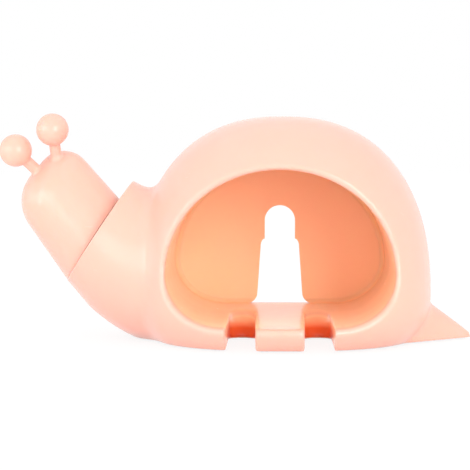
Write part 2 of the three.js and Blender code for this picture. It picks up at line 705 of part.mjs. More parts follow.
/** The washer that holds the spigot against the inside of the collar's end wall. */
function swivelWasher() {
  const ring = rod(SWIVEL_WASHER_RADIUS, -SPIGOT_LENGTH - SWIVEL_WASHER_THICKNESS, -SPIGOT_LENGTH, 32);
  const hole = rod(SCREW_SHANK_RADIUS + SEAT_GAP, -SPIGOT_LENGTH * 2, 0, 20);
  return aim(ring.subtract(hole), seamNormal, headSeat);
}

/** The screw that draws the spigot and its washer together from inside. */
function swivelScrew() {
  const under = -SPIGOT_LENGTH - SWIVEL_WASHER_THICKNESS - SEAT_GAP;
  const screw = turned([
    [0, under - SCREW_HEAD_HEIGHT],
    [SCREW_HEAD_RADIUS, under - SCREW_HEAD_HEIGHT],
    [SCREW_HEAD_RADIUS, under],
    [SCREW_SHANK_RADIUS, under],
    [SCREW_SHANK_RADIUS, 0],
    [0, 0],
  ], 24);
  return aim(screw, seamNormal, headSeat);
}

/** The ballast casting, which follows the belly's inside and stands on its floor. */
function ballast() {
  const low = FOOT_PROUD + WALL + SEAT_GAP;
  const wallX = MOUTH_X - MOUTH_HALF_WIDTH - WALL - SEAT_GAP;
  return block(
    [SEAM_X - COLLAR_RADIUS, -BALLAST_HALF_WIDTH, low],
    [wallX, BALLAST_HALF_WIDTH, low + BALLAST_HEIGHT],
  )
    .intersect(neckForm(WALL + SEAT_GAP, 32))
    .subtract(beyondSeam(WALL + SEAT_GAP));
}

/** One foot, seated in its pocket with its sole below the base. */
function foot({ x, y }) {
  return turned([
    [0, 0],
    [FOOT_RADIUS - FOOT_CHAMFER, 0],
    [FOOT_RADIUS, FOOT_CHAMFER],
    [FOOT_RADIUS, FOOT_HEIGHT],
    [0, FOOT_HEIGHT],
  ], 28).translate([x, y, 0]);
}

// ---------------------------------------------------------------- assembly

const snail = new THREE.Group();
const body = bodyShell();

/** How far back every piece moves, so that the origin lies under the middle of the depth. */
const shiftY = -(body.boundingBox().min[1] + body.boundingBox().max[1]) / 2;

/** Adds one named piece to a group. */
function add(group, name, form, finish) {
  const geometry = geometryOf(form.translate([0, shiftY, 0]));
  const mesh = new THREE.Mesh(geometry, new THREE.MeshStandardMaterial(finish));
  mesh.name = name;
  group.add(mesh);
}

add(snail, 'body_shell', body, PEACH);
add(snail, 'rear_cover', rearCover(), PEACH);
screwPlaces.forEach((place, i) => add(snail, `cover_screw_${i + 1}`, coverScrew(place), STEEL));
add(snail, 'ballast_block', ballast(), IRON);
footPlaces.forEach((place) => add(snail, place.name, foot(place), RUBBER));

const turningHead = new THREE.Group();
snail.add(turningHead);
add(turningHead, 'head', headForm(), PEACH);
add(turningHead, 'eye_left', eyeForm(eyes[0]), PEACH);
add(turningHead, 'eye_right', eyeForm(eyes[1]), PEACH);
add(turningHead, 'swivel_washer', swivelWasher(), STEEL);
add(turningHead, 'swivel_screw', swivelScrew(), STEEL);

export default snail;
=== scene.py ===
"""Looks of a snail-shaped desk holder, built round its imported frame.

Every piece is modelled in millimetres in the frame's own axes (+X to the tail, +Y to the flat
back, +Z up) with Y = 0 in the object's middle plane, and goes to its place in metres when its
mesh is finished.
"""

import sys
import json
import logging
import math
from dataclasses import dataclass
from enum import Enum
from typing import Callable, Iterable, Sequence

import bmesh
import bpy
from mathutils import Matrix, Vector
from mathutils.kdtree import KDTree


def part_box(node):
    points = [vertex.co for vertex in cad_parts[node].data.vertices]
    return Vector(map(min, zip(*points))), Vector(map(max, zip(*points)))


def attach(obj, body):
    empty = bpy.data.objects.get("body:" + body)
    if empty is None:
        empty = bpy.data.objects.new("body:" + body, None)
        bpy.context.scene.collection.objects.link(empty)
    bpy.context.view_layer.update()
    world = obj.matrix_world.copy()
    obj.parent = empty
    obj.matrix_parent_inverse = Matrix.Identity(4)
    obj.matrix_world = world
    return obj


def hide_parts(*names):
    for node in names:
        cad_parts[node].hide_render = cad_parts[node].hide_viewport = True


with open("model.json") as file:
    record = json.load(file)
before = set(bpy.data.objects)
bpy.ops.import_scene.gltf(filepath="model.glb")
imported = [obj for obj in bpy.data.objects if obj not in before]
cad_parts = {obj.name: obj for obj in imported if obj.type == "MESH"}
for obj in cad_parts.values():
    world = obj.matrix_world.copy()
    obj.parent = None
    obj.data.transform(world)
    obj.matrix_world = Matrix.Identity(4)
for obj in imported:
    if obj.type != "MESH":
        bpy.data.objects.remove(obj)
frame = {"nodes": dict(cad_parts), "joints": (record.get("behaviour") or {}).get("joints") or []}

MM = 0.001
LOOK_AT = Vector((-0.79, 0.0, 35.4))  # from the middle plane, in millimetres
REACH = 120.0  # well past the object, in millimetres
SQUARE = [(-REACH, -REACH), (REACH, -REACH), (REACH, REACH), (-REACH, REACH)]
PAST = 1.0  # how far a tool runs past what it cuts, in millimetres
FINE_GAP = 0.03  # between pieces whose joint hardly shows, in millimetres
CLEAR = 0.3  # round a piece in its pocket or recess, in millimetres
SCREWS = (1, 2, 3, 4)
# painted shade: this number makes the plastic warmer inside the mouth and darker low in the
# notches
PAINTED_SHADE = "inside"  # the mark that a mesh carries for the inside of the mouth
FEET = ("foot_front_left", "foot_front_right", "foot_back_left", "foot_back_right")
SWIVEL = next(joint for joint in frame["joints"] if joint["name"] == "head_swivel")
MIDDLE = Vector((0.0, SWIVEL["pos_m"][1] / MM, 0.0))  # the object's middle plane in the frame
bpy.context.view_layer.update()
log = logging.getLogger("snail_holder")


class Axis(Enum):
    """A world axis, as a unit vector."""

    X = (1.0, 0.0, 0.0)
    Y = (0.0, 1.0, 0.0)
    Z = (0.0, 0.0, 1.0)

    @property
    def vector(self) -> Vector:
        """The axis as a Vector."""
        return Vector(self.value)


class Cut(Enum):
    """What a boolean does with its tool."""

    JOIN = "UNION"
    CUT = "DIFFERENCE"
    KEEP = "INTERSECT"


# ------------------------------------------------------------------ mesh helpers


def node_box(name: str) -> tuple[Vector, Vector]:
    """Gives a CAD node's box in millimetres from the object's middle plane.

    Args:
        name: The node's name in the frame.

    Returns:
        The lowest and the highest corner.
    """
    low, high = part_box(name)
    return low / MM - MIDDLE, high / MM - MIDDLE


def sharper(bm: bmesh.types.BMesh, angle: float) -> list[bmesh.types.BMEdge]:
    """Finds the edges where two faces meet sharply.

    Args:
        bm: The bmesh.
        angle: The angle in degrees above which an edge is sharp.

    Returns:
        The edges.
    """
    limit = math.radians(angle)
    shared = (edge for edge in bm.edges if len(edge.link_faces) == 2)
    return [edge for edge in shared if edge.calc_face_angle(0.0) > limit]


def new_object(name: str, bm: bmesh.types.BMesh) -> bpy.types.Object:
    """Turns a bmesh into a linked object with its normals outward.

    Args:
        name: The object's name.
        bm: The bmesh, which is freed.

    Returns:
        The new object.
    """
    bmesh.ops.recalc_face_normals(bm, faces=bm.faces)
    mesh = bpy.data.meshes.new(name)
    bm.to_mesh(mesh)
    bm.free()
    piece = bpy.data.objects.new(name, mesh)
    bpy.context.scene.collection.objects.link(piece)
    return piece


def apply_modifiers(piece: bpy.types.Object) -> None:
    """Bakes an object's modifiers into its mesh.

    Args:
        piece: The object.
    """
    bpy.context.view_layer.update()
    graph = bpy.context.evaluated_depsgraph_get()
    baked = bpy.data.meshes.new_from_object(piece.evaluated_get(graph))
    old = piece.data
    piece.modifiers.clear()
    piece.data = baked
    baked.name = piece.name
    bpy.data.meshes.remove(old)


def combine(piece: bpy.types.Object, tool: bpy.types.Object, how: Cut) -> None:
    """Joins, cuts or keeps an object with a tool, and deletes the tool.

    Args:
        piece: The object that is changed.
        tool: The closed tool.
        how: What the boolean does.
    """
    boolean = piece.modifiers.new("boolean", "BOOLEAN")
    boolean.operation = how.value
    boolean.solver = "EXACT"
    boolean.object = tool
    apply_modifiers(piece)
    bpy.data.objects.remove(tool)


def remesh(piece: bpy.types.Object, voxel: float) -> None:
    """Rebuilds a closed mesh as even quads.

    Args:
        piece: The object.
        voxel: The edge of one quad in millimetres.
    """
    skin = piece.modifiers.new("skin", "REMESH")
    skin.mode = "VOXEL"
    skin.voxel_size = voxel
    skin.adaptivity = 0.0
    apply_modifiers(piece)


def soften(
    piece: bpy.types.Object, rounds: int, where: Callable[[Vector], bool] | None = None
) -> None:
    """Smooths a mesh, all over or only where a test says so.

    Args:
        piece: The object.
        rounds: How often each vertex moves half way to its neighbours' middle.
        where: Tells for a vertex's place whether it moves.
    """
    bm = bmesh.new()
    bm.from_mesh(piece.data)
    verts = [v for v in bm.verts if where is None or where(v.co)]
    for _ in range(rounds):
        bmesh.ops.smooth_vert(
            bm, verts=verts, factor=0.5, use_axis_x=True, use_axis_y=True, use_axis_z=True
        )
    bm.to_mesh(piece.data)
    bm.free()


def thin_out(piece: bpy.types.Object, share: float) -> None:
    """Keeps a share of a mesh's faces, most of them where it curves.

    Args:
        piece: The object.
        share: The part of the faces that stays, from 0 to 1.
    """
    fewer = piece.modifiers.new("fewer", "DECIMATE")
    fewer.ratio = share
    apply_modifiers(piece)


def finish_piece(piece: bpy.types.Object, sharp_above: float | None = None) -> None:
    """Puts a millimetre mesh in its place in metres and shades it smooth.

    Args:
        piece: The object.
        sharp_above: The angle in degrees above which an edge stays sharp, or None for none.
    """
    piece.data.transform(Matrix.Scale(MM, 4) @ Matrix.Translation(MIDDLE))
    bm = bmesh.new()
    bm.from_mesh(piece.data)
    for face in bm.faces:
        face.smooth = True
    if sharp_above is not None:
        limit = math.radians(sharp_above)
        for edge in bm.edges:
            edge.smooth = len(edge.link_faces) == 2 and edge.calc_face_angle(0.0) < limit
    bm.to_mesh(piece.data)
    bm.free()


def mark_painted_shade(piece: bpy.types.Object, depth: Callable[[Vector], float]) -> None:
    """Marks the points of a finished mesh that lie inside the mouth.

    Args:
        piece: The object.
        depth: Tells from a place in millimetres how much painted glow and shade it gets,
        from 0 to 1 in the mouth and on to 2 low in a notch.
    """
    shade_mark = piece.data.attributes.new(PAINTED_SHADE, "FLOAT", "POINT")
    for vert in piece.data.vertices:
        shade_mark.data[vert.index].value = min(2.0, max(0.0, depth(vert.co / MM - MIDDLE)))


def ring(
    bm: bmesh.types.BMesh,
    centre: Vector,
    normal: Vector,
    radii: tuple[float, float],
    steps: int,
    side: Axis = Axis.Y,
) -> list[bmesh.types.BMEdge]:
    """Adds an oval loop of edges.

    Args:
        bm: The bmesh that gets the loop.
        centre: The middle of the loop.
        normal: The direction that the loop faces, square to its side axis.
        radii: The radius along the side axis and the radius up the loop's own plane.
        steps: The number of edges.
        side: The axis that the loop's plane holds.

    Returns:
        The loop's edges.
    """
    rise = side.vector.cross(normal).normalized()
    turn = Matrix((side.vector, rise, normal.normalized())).transposed().to_4x4()
    place = Matrix.Translation(centre) @ turn @ Matrix.Diagonal((*radii, 1.0, 1.0))
    made = bmesh.ops.create_circle(bm, cap_ends=False, segments=steps, radius=1.0, matrix=place)
    return list({edge for vert in made["verts"] for edge in vert.link_edges})


def skin_rings(bm: bmesh.types.BMesh, loops: Sequence[list[bmesh.types.BMEdge]]) -> None:
    """Bridges loops of edges in order and closes both ends.

    Args:
        bm: The bmesh that holds the loops.
        loops: The loops, from one end to the other.
    """
    ends = [loops[0], loops[-1]]
    for first, second in zip(loops, loops[1:]):
        bmesh.ops.bridge_loops(bm, edges=first + second)
    for loop in ends:
        bmesh.ops.holes_fill(bm, edges=loop, sides=0)


def spun(
    name: str, profile: Iterable[tuple[float, float]], steps: int, matrix: Matrix
) -> bpy.types.Object:
    """Spins a profile about its own Z axis into a closed piece.

    Args:
        name: The piece's name.
        profile: Pairs of radius and height that start and end on the axis.
        steps: The number of steps round.
        matrix: Where the piece's own axes go.

    Returns:
        The new object, in millimetres.
    """
    bm = bmesh.new()
    verts = [bm.verts.new((radius, 0.0, height)) for radius, height in profile]
    edges = [bm.edges.new(pair) for pair in zip(verts, verts[1:])]
    bmesh.ops.spin(
        bm,
        geom=verts + edges,
        axis=Axis.Z.vector,
        cent=(0.0, 0.0, 0.0),
        angle=math.tau,
        steps=steps,
        use_merge=True,
    )
    bmesh.ops.remove_doubles(bm, verts=bm.verts, dist=1e-4)
    bmesh.ops.transform(bm, matrix=matrix, verts=bm.verts)
    return new_object(name, bm)


def aimed(place: Vector, direction: Vector) -> Matrix:
    """A matrix that puts the origin at a place and turns +Z along a direction."""
    return Matrix.Translation(place) @ direction.to_track_quat("Z", "Y").to_matrix().to_4x4()


def prism(
    name: str, outline: Sequence[tuple[float, float]], along: Axis, low: float, high: float
) -> bpy.types.Object:
    """Pushes a closed outline along Y or Z.

    Args:
        name: The object's name.
        outline: Corner points: X and Z for a push along Y, X and Y for one along Z.
        along: The axis of the push.
        low: Where the push starts.
        high: Where it ends.

    Returns:
        The new object, in millimetres.
    """
    bm = bmesh.new()
    if along is Axis.Y:
        corners = [bm.verts.new((x, low, z)) for x, z in outline]
    else:
        corners = [bm.verts.new((x, y, low)) for x, y in outline]
    face = bm.faces.new(corners)
    made = bmesh.ops.extrude_face_region(bm, geom=[face])
    moved = [item for item in made["geom"] if isinstance(item, bmesh.types.BMVert)]
    bmesh.ops.translate(bm, verts=moved, vec=along.vector * (high - low))
    return new_object(name, bm)


def arc(
    centre: tuple[float, float], radii: tuple[float, float], start: float, end: float, steps: int
) -> list[tuple[float, float]]:
    """Gives points along an oval arc.

    Args:
        centre: The middle of the oval.
        radii: Its radii along the first and the second axis.
        start: The first angle in degrees.
        end: The last angle in degrees.
        steps: The number of steps.

    Returns:
        The points, both ends included.
    """
    angles = [math.radians(start + (end - start) * i / steps) for i in range(steps + 1)]
    return [
        (centre[0] + radii[0] * math.cos(a), centre[1] + radii[1] * math.sin(a)) for a in angles
    ]


def loop(bm: bmesh.types.BMesh, points: Sequence[Vector]) -> list[bmesh.types.BMEdge]:
    """Adds a closed loop of edges through points.

    Args:
        bm: The bmesh that gets the loop.
        points: The corners in order.

    Returns:
        The loop's edges.
    """
    verts = [bm.verts.new(point) for point in points]
    return [bm.edges.new(pair) for pair in zip(verts, verts[1:] + verts[:1])]


def cove_steps(radius: float, steps: int) -> list[tuple[float, float]]:
    """Gives a quarter round that starts straight ahead and turns inward.

    Args:
        radius: Its radius.
        steps: The number of steps.

    Returns:
        Pairs of the way in and the way ahead.
    """
    turns = [math.pi / 2 * i / steps for i in range(steps + 1)]
    return [(radius * (1.0 - math.cos(turn)), radius * math.sin(turn)) for turn in turns]


def near(points: Sequence[Vector], reach: float) -> Callable[[Vector], bool]:
    """Makes a test for places that lie close to any of some points.

    Args:
        points: The points.
        reach: The distance in millimetres.

    Returns:
        The test.
    """
    tree = KDTree(len(points))
    for i, point in enumerate(points):
        tree.insert(point, i)
    tree.balance()
    return lambda place: tree.find(place)[2] < reach


def smooth_path(stations: Sequence[tuple[float, ...]], steps: int) -> list[tuple[float, ...]]:
    """Runs a Catmull-Rom curve through stations of any number of values.

    Args:
        stations: The stations in order.
        steps: The number of steps between two stations.

    Returns:
        The stations with the new ones between them.
    """
    padded = [stations[0], *stations, stations[-1]]
    path = []
    for i in range(len(stations) - 1):
        for j in range(steps):
            t = j / steps
            path.append(
                tuple(
                    0.5
                    * (
                        2 * b
                        + (c - a) * t
                        + (2 * a - 5 * b + 4 * c - d) * t**2
                        + (3 * b - a - 3 * c + d) * t**3
                    )
                    for a, b, c, d in zip(*padded[i : i + 4])
                )
            )
    return path + [stations[-1]]


# ------------------------------------------------------------------ finishes


class Nodes:
    """Builds one procedural material in Object coordinates."""

    def __init__(self, name: str) -> None:
        """Starts a material with a Principled shader.

        Args:
            name: The material's name.
        """
        self.material = bpy.data.materials.new(name)
        self.material.use_nodes = True
        self.tree = self.material.node_tree
        self.shader = self.tree.nodes["Principled BSDF"]
        self.coords = self.tree.nodes.new("ShaderNodeTexCoord").outputs["Object"]

    def attribute(self, name: str) -> bpy.types.NodeSocket:
        """Reads a number that a mesh carries at its points.

        Args:
            name: The number's name.

        Returns:
            The number, 0 on a mesh without it.
        """
        node = self.tree.nodes.new("ShaderNodeAttribute")
        node.attribute_name = name
        return node.outputs["Fac"]

    def noise(
        self, scale: float, detail: float, stretch: tuple[float, float, float] = (1.0, 1.0, 1.0)
    ) -> bpy.types.NodeSocket:
        """Adds a noise field.

        Args:
            scale: Features per metre.
            detail: Octaves of finer noise.
            stretch: Extra scale along each axis.

        Returns:
            The noise's factor.
        """
        mapping = self.tree.nodes.new("ShaderNodeMapping")
        mapping.inputs["Scale"].default_value = stretch
        noise = self.tree.nodes.new("ShaderNodeTexNoise")
        noise.inputs["Scale"].default_value = scale
        noise.inputs["Detail"].default_value = detail
        self.tree.links.new(self.coords, mapping.inputs["Vector"])
        self.tree.links.new(mapping.outputs["Vector"], noise.inputs["Vector"])
        return noise.outputs["Fac"]

    def spread(
        self, field: bpy.types.NodeSocket, inside: tuple[float, float], onto: tuple[float, float]
    ) -> bpy.types.NodeSocket:
        """Maps a stretch of a field onto another range and clamps it there.

        Args:
            field: The field.
            inside: The stretch of the field that counts.
            onto: The values at its ends.

        Returns:
            The mapped field.
        """
        node = self.tree.nodes.new("ShaderNodeMapRange")
        for socket, value in zip(("From Min", "From Max", "To Min", "To Max"), (*inside, *onto)):
            node.inputs[socket].default_value = value
        self.tree.links.new(field, node.inputs["Value"])
        return node.outputs["Result"]

    def mixed(
        self,
        factor: bpy.types.NodeSocket,
        first: tuple[float, float, float] | bpy.types.NodeSocket,
        second: tuple[float, float, float],
    ) -> bpy.types.NodeSocket:
        """Mixes two colours by a field.

        Args:
            factor: 0 gives the first colour and 1 the second.
            first: A linear colour or a field of them.
            second: A linear colour.

        Returns:
            The mixed colour.
        """
        node = self.tree.nodes.new("ShaderNodeMix")
        node.data_type = "RGBA"
        if isinstance(first, tuple):
            node.inputs["A"].default_value = (*first, 1.0)
        else:
            self.tree.links.new(first, node.inputs["A"])
        node.inputs["B"].default_value = (*second, 1.0)
        self.tree.links.new(factor, node.inputs["Factor"])
        return node.outputs["Result"]

    def added(
        self, first: bpy.types.NodeSocket, second: bpy.types.NodeSocket
    ) -> bpy.types.NodeSocket:
        """Adds two fields.

        Args:
            first: A field.
            second: Another field.

        Returns:
            Their sum.
        """
        node = self.tree.nodes.new("ShaderNodeMath")
        self.tree.links.new(first, node.inputs[0])
        self.tree.links.new(second, node.inputs[1])
        return node.outputs["Value"]

    def bumped(self, height: bpy.types.NodeSocket, depth: float) -> None:
        """Gives the shader a bump.

        Args:
            height: A field from 0 to 1.
            depth: The height of 1, in millimetres.
        """
        node = self.tree.nodes.new("ShaderNodeBump")
        node.inputs["Strength"].default_value = 1.0
        node.inputs["Distance"].default_value = depth * MM
        self.tree.links.new(height, node.inputs["Height"])
        self.feed("Normal", node.outputs["Normal"])

    def feed(self, socket: str, source: bpy.types.NodeSocket) -> None:
        """Links a field to one of the shader's sockets.

        Args:
            socket: The socket's name.
            source: The field.
        """
        self.tree.links.new(source, self.shader.inputs[socket])

    def set(self, **values: float | tuple[float, float, float]) -> None:
        """Sets constants on the shader's sockets, an underscore standing for a space.

        Args:
            **values: A value for each socket.
        """
        for socket, value in values.items():
            self.shader.inputs[socket.replace("_", " ")].default_value = value


@dataclass(frozen=True)
class GlossPlastic:
    """Glossy, slightly translucent moulded plastic.

    Attributes:
        name: The material's name.
        pale: Its colour on the outside.
        deep: A warmer colour inside the mouth: painted glow and shade between the walls.
        notch_shade: The darkest colour, low in the notches: painted shade where little light gets
            in.
        gloss: Its roughness where it is smoothest and where it is dullest.
        scatter: How much of its light goes under the skin.
        reach: How far red light travels under the skin, in millimetres.
        orange_peel: Height of the moulded skin's waves, in millimetres.
    """

    name: str
    pale: tuple[float, float, float] = (0.73, 0.375, 0.302)
    deep: tuple[float, float, float] = (1.0, 0.59, 0.35)
    notch_shade: tuple[float, float, float] = (0.78, 0.11, 0.028)
    gloss: tuple[float, float] = (0.23, 0.27)
    scatter: float = 0.25
    reach: float = 2.5
    orange_peel: float = 0.001

    def build(self) -> bpy.types.Material:
        """Builds the material.

        Returns:
            The material.
        """
        nodes = Nodes(self.name)
        drift = nodes.spread(nodes.noise(22.0, 3.0), (0.35, 0.65), (0.0, 0.06))
        # painted glow and shade: the mesh's number turns the outside colour warmer inside the
        # mouth and, past 1, darkens it towards the painted shade of the notches
        shade_mark = nodes.attribute(PAINTED_SHADE)
        inner = nodes.spread(shade_mark, (0.0, 1.0), (0.0, 0.94))
        skin = nodes.mixed(nodes.added(inner, drift), self.pale, self.deep)
        low = nodes.spread(shade_mark, (1.0, 2.0), (0.0, 1.0))
        nodes.feed("Base Color", nodes.mixed(low, skin, self.notch_shade))
        haze = nodes.spread(nodes.noise(90.0, 4.0), (0.3, 0.7), self.gloss)
        scuffs = nodes.spread(nodes.noise(260.0, 5.0, (1.0, 1.0, 14.0)), (0.6, 0.85), (0.0, 0.02))
        nodes.feed("Roughness", nodes.added(haze, scuffs))
        nodes.bumped(nodes.noise(240.0, 4.0), self.orange_peel)
        nodes.set(
            Subsurface_Weight=self.scatter,
            Subsurface_Radius=(1.0, 0.42, 0.24),
            Subsurface_Scale=self.reach * MM,
            IOR=1.47,
            Specular_IOR_Level=0.5,
            Coat_Weight=0.1,
            Coat_Roughness=0.2,
            Sheen_Weight=0.12,
            Sheen_Roughness=0.35,
        )
        return nodes.material


@dataclass(frozen=True)
class BrushedSteel:
    """Zinc-plated steel with fine drawn lines.

    Attributes:
        name: The material's name.
        bright: Its clean colour.
        dull: Its colour where it has gone dull.
    """

    name: str
    bright: tuple[float, float, float] = (0.56, 0.56, 0.57)
    dull: tuple[float, float, float] = (0.38, 0.38, 0.40)

    def build(self) -> bpy.types.Material:
        """Builds the material.

        Returns:
            The material.
        """
        nodes = Nodes(self.name)
        patches = nodes.spread(nodes.noise(350.0, 4.0), (0.35, 0.7), (0.0, 1.0))
        nodes.feed("Base Color", nodes.mixed(patches, self.bright, self.dull))
        lines = nodes.noise(900.0, 3.0, (1.0, 1.0, 12.0))
        nodes.feed("Roughness", nodes.spread(lines, (0.3, 0.7), (0.22, 0.42)))
        nodes.bumped(lines, 0.01)
        nodes.set(Metallic=1.0)
        return nodes.material


@dataclass(frozen=True)
class CastIron:
    """Rough, dark cast iron.

    Attributes:
        name: The material's name.
        skin: The colour of its casting skin.
        rust: The colour of its rusty patches.
    """

    name: str
    skin: tuple[float, float, float] = (0.075, 0.072, 0.070)
    rust: tuple[float, float, float] = (0.16, 0.075, 0.04)

    def build(self) -> bpy.types.Material:
        """Builds the material.

        Returns:
            The material.
        """
        nodes = Nodes(self.name)
        patches = nodes.spread(nodes.noise(160.0, 5.0), (0.55, 0.72), (0.0, 0.6))
        nodes.feed("Base Color", nodes.mixed(patches, self.skin, self.rust))
        grain = nodes.noise(1200.0, 6.0)
        nodes.feed("Roughness", nodes.spread(grain, (0.3, 0.7), (0.5, 0.8)))
        nodes.bumped(grain, 0.12)
        nodes.set(Metallic=0.6)
        return nodes.material


@dataclass(frozen=True)
class SoftRubber:
    """Matt rubber that has picked up a little dust.

    Attributes:
        name: The material's name.
        clean: Its colour when clean.
        dusty: Its colour where it has been handled.
    """

    name: str
    clean: tuple[float, float, float] = (0.66, 0.60, 0.53)
    dusty: tuple[float, float, float] = (0.52, 0.47, 0.42)

    def build(self) -> bpy.types.Material:
        """Builds the material.

        Returns:
            The material.
        """
        nodes = Nodes(self.name)
        dust = nodes.spread(nodes.noise(500.0, 5.0), (0.4, 0.7), (0.0, 1.0))
        nodes.feed("Base Color", nodes.mixed(dust, self.clean, self.dusty))
        nodes.feed("Roughness", nodes.spread(nodes.noise(700.0, 3.0), (0.3, 0.7), (0.62, 0.82)))
        nodes.bumped(nodes.noise(2500.0, 4.0), 0.02)
        nodes.set(Sheen_Weight=0.1)
        return nodes.material


def dress(
    piece: bpy.types.Object, material: bpy.types.Material, body: str, node: str
) -> None:
    """Gives a piece its finish and ties it to the frame.

    Args:
        piece: The finished piece.
        material: Its material.
        body: The CAD body that it moves with.
        node: The CAD node that it replaces.
    """
    piece.data.materials.clear()
    piece.data.materials.append(material)
    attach(piece, body)
    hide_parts(node)
    log.info("%s: %d faces", piece.name, len(piece.data.polygons))


# ------------------------------------------------------------------ shared places


@dataclass(frozen=True)
class Seam:
    """The plane in which the head turns on the collar.

    Attributes:
        seat: Where the swivel's axis meets the collar's face.
        normal: The axis, towards the head.
        head_drop: How far the axis lies below the collar's own centre.
    """

    seat: Vector
    normal: Vector
    head_drop: float = 4.3

    @classmethod
    def from_frame(cls) -> "Seam":
        """Reads the swivel's place and axis from the frame's joint.

        Returns:
            The seam.
        """
        return cls(Vector(SWIVEL["pos_m"]) / MM - MIDDLE, Vector(SWIVEL["axis"]).normalized())

    @property
    def rise(self) -> Vector:
        """The direction up the seam plane, square to Y."""
        return Axis.Y.vector.cross(self.normal).normalized()

    @property
    def collar(self) -> Vector:
        """The centre of the collar's face."""
        return self.seat + self.rise * self.head_drop


@dataclass(frozen=True)
class Shell:
    """The shell's squarish oval and its domed front, with sizes in millimetres.

    Attributes:
        top: Height of its highest point.
        x: Its middle.
        half_width: Half its width at its widest level.
        rise: From its widest level to its top.
        drop: From its widest level to where the oval would close below the base.
        front: From its widest section to the pole of its front.
        square: The oval's exponent, where 2 is an ellipse.
        back_taper: How far it draws in towards its flat back.
        back_edge: Rounding of the flat back's edge.
    """

    top: float
    x: float = 15.5
    half_width: float = 50.4
    rise: float = 60.5
    drop: float = 25.5
    front: float = 47.6
    square: float = 2.33
    back_taper: float = 1.3
    back_edge: float = 2.4

    @property
    def z(self) -> float:
        """Height of its widest level."""
        return self.top - self.rise

    def point(self, angle: float, inset: float = 0.0, share: float = 1.0) -> tuple[float, float]:
        """Gives a point of the oval.

        Args:
            angle: The way round in radians, from the tail side upwards.
            inset: How far inside the outer face it runs.
            share: How far out from the middle it lies, from 0 to 1.

        Returns:
            Its X and Z.
        """
        power = 2 / self.square
        cosine, sine = math.cos(angle), math.sin(angle)
        height = (self.drop if sine < 0 else self.rise) - inset
        across = math.copysign(abs(cosine) ** power, cosine) * (self.half_width - inset)
        up = math.copysign(abs(sine) ** power, sine) * height
        return self.x + share * across, self.z + share * up

    def share(self, place: Vector) -> float:
        """Tells how far out from the shell's middle a place lies.

        Args:
            place: The place.

        Returns:
            0 in the middle and 1 on the outer face.
        """
        height = self.drop if place.z < self.z else self.rise
        away = abs((place.x - self.x) / self.half_width) ** self.square
        away += abs((place.z - self.z) / height) ** self.square
        away += (max(0.0, -place.y) / self.front) ** self.square
        return away ** (1 / self.square)

    def front_y(self, x: float, z: float) -> float:
        """Gives the Y at which the domed front lies over a place in X and Z."""
        away = self.share(Vector((x, 0.0, z))) ** self.square
        return -self.front * max(0.0, 1.0 - away) ** (1 / self.square)

    def solid(self, inset: float, steps: int, back: float) -> bpy.types.Object:
        """Skins the shell's ovals from its domed front to its flat back.

        Args:
            inset: How far inside the outer face it runs.
            steps: The number of steps round.
            back: The Y of its flat back.

        Returns:
            The solid shell.
        """
        rows, power = steps // 4, 2 / self.square
        stops = []
        for i in range(1, rows + 1):
            turn = math.pi / 2 * i / rows
            y = (inset - self.front) * math.cos(turn) ** power
            stops.append((math.sin(turn) ** power, inset, y))
        curve = max(self.back_edge - inset, 0.0)
        for in_by, ahead in cove_steps(curve, 6) if curve else [(0.0, 0.0)]:
            stops.append((1.0, inset + self.back_taper + in_by, back - curve + ahead))
        bm = bmesh.new()
        loops = []
        for share, inside, y in stops:
            oval = (self.point(math.tau * i / steps, inside, share) for i in range(steps))
            loops.append(loop(bm, [Vector((x, y, z)) for x, z in oval]))
        skin_rings(bm, loops)
        return new_object("shell", bm)


@dataclass(frozen=True)
class Mouth:
    """The D-shaped tunnel, with its sizes in millimetres.

    Attributes:
        x: Its middle.
        half_width: Half its width at the springing line.
        rise: The arch's height above the springing line.
        spring: The springing line's height.
        floor: The floor's height.
        corner: Half width of each rounded lower corner.
        cove: The rounding between the tunnel and its back wall.
        sill_steps: The number of steps along the level floor.
    """

    x: float = 14.6
    half_width: float = 37.7
    rise: float = 34.9
    spring: float = 24.0
    floor: float = 8.0
    corner: float = 18.5
    cove: float = 2.0
    sill_steps: int = 24

    def outline(self, grown: float = 0.0, steps: int = 96) -> list[tuple[float, float]]:
        """Draws the D.

        Args:
            grown: How far outside the mouth it runs.
            steps: The number of steps along the arch.

        Returns:
            Corner points in X and Z.
        """
        inner = self.half_width - self.corner
        depth = self.spring - self.floor
        centre = (self.x, self.spring)
        arch = arc(centre, (self.half_width + grown, self.rise + grown), 0, 180, steps)
        radii = (self.corner + grown, depth + grown)
        left = arc((self.x - inner, self.spring), radii, 180, 270, steps // 4)
        right = arc((self.x + inner, self.spring), radii, 270, 360, steps // 4)
        level = [inner * (2 * i / self.sill_steps - 1) for i in range(1, self.sill_steps)]
        sill = [(self.x + x, self.floor - grown) for x in level]
        return arch[:-1] + left + sill + right[:-1]


@dataclass(frozen=True)
class Recess:
    """The rear cover's place: the shell's oval, drawn in and cut off level at the bottom.

    Attributes:
        shell: The shell.
        low: The cover's lowest corner.
        high: Its highest corner.
    """

    shell: Shell
    low: Vector
    high: Vector

    def outline(self, grown: float = 0.0) -> list[tuple[float, float]]:
        """Draws the cover's outline.

        Args:
            grown: How far outside the cover it runs.

        Returns:
            Corner points in X and Z.
        """
        inset = self.shell.top - self.high.z - grown
        sunk = (self.shell.z - self.low.z + grown) / (self.shell.drop - inset)
        start = -math.asin(sunk ** (self.shell.square / 2))
        turn = (math.pi - 2 * start) / 160
        return [self.shell.point(start + turn * i, inset) for i in range(161)]


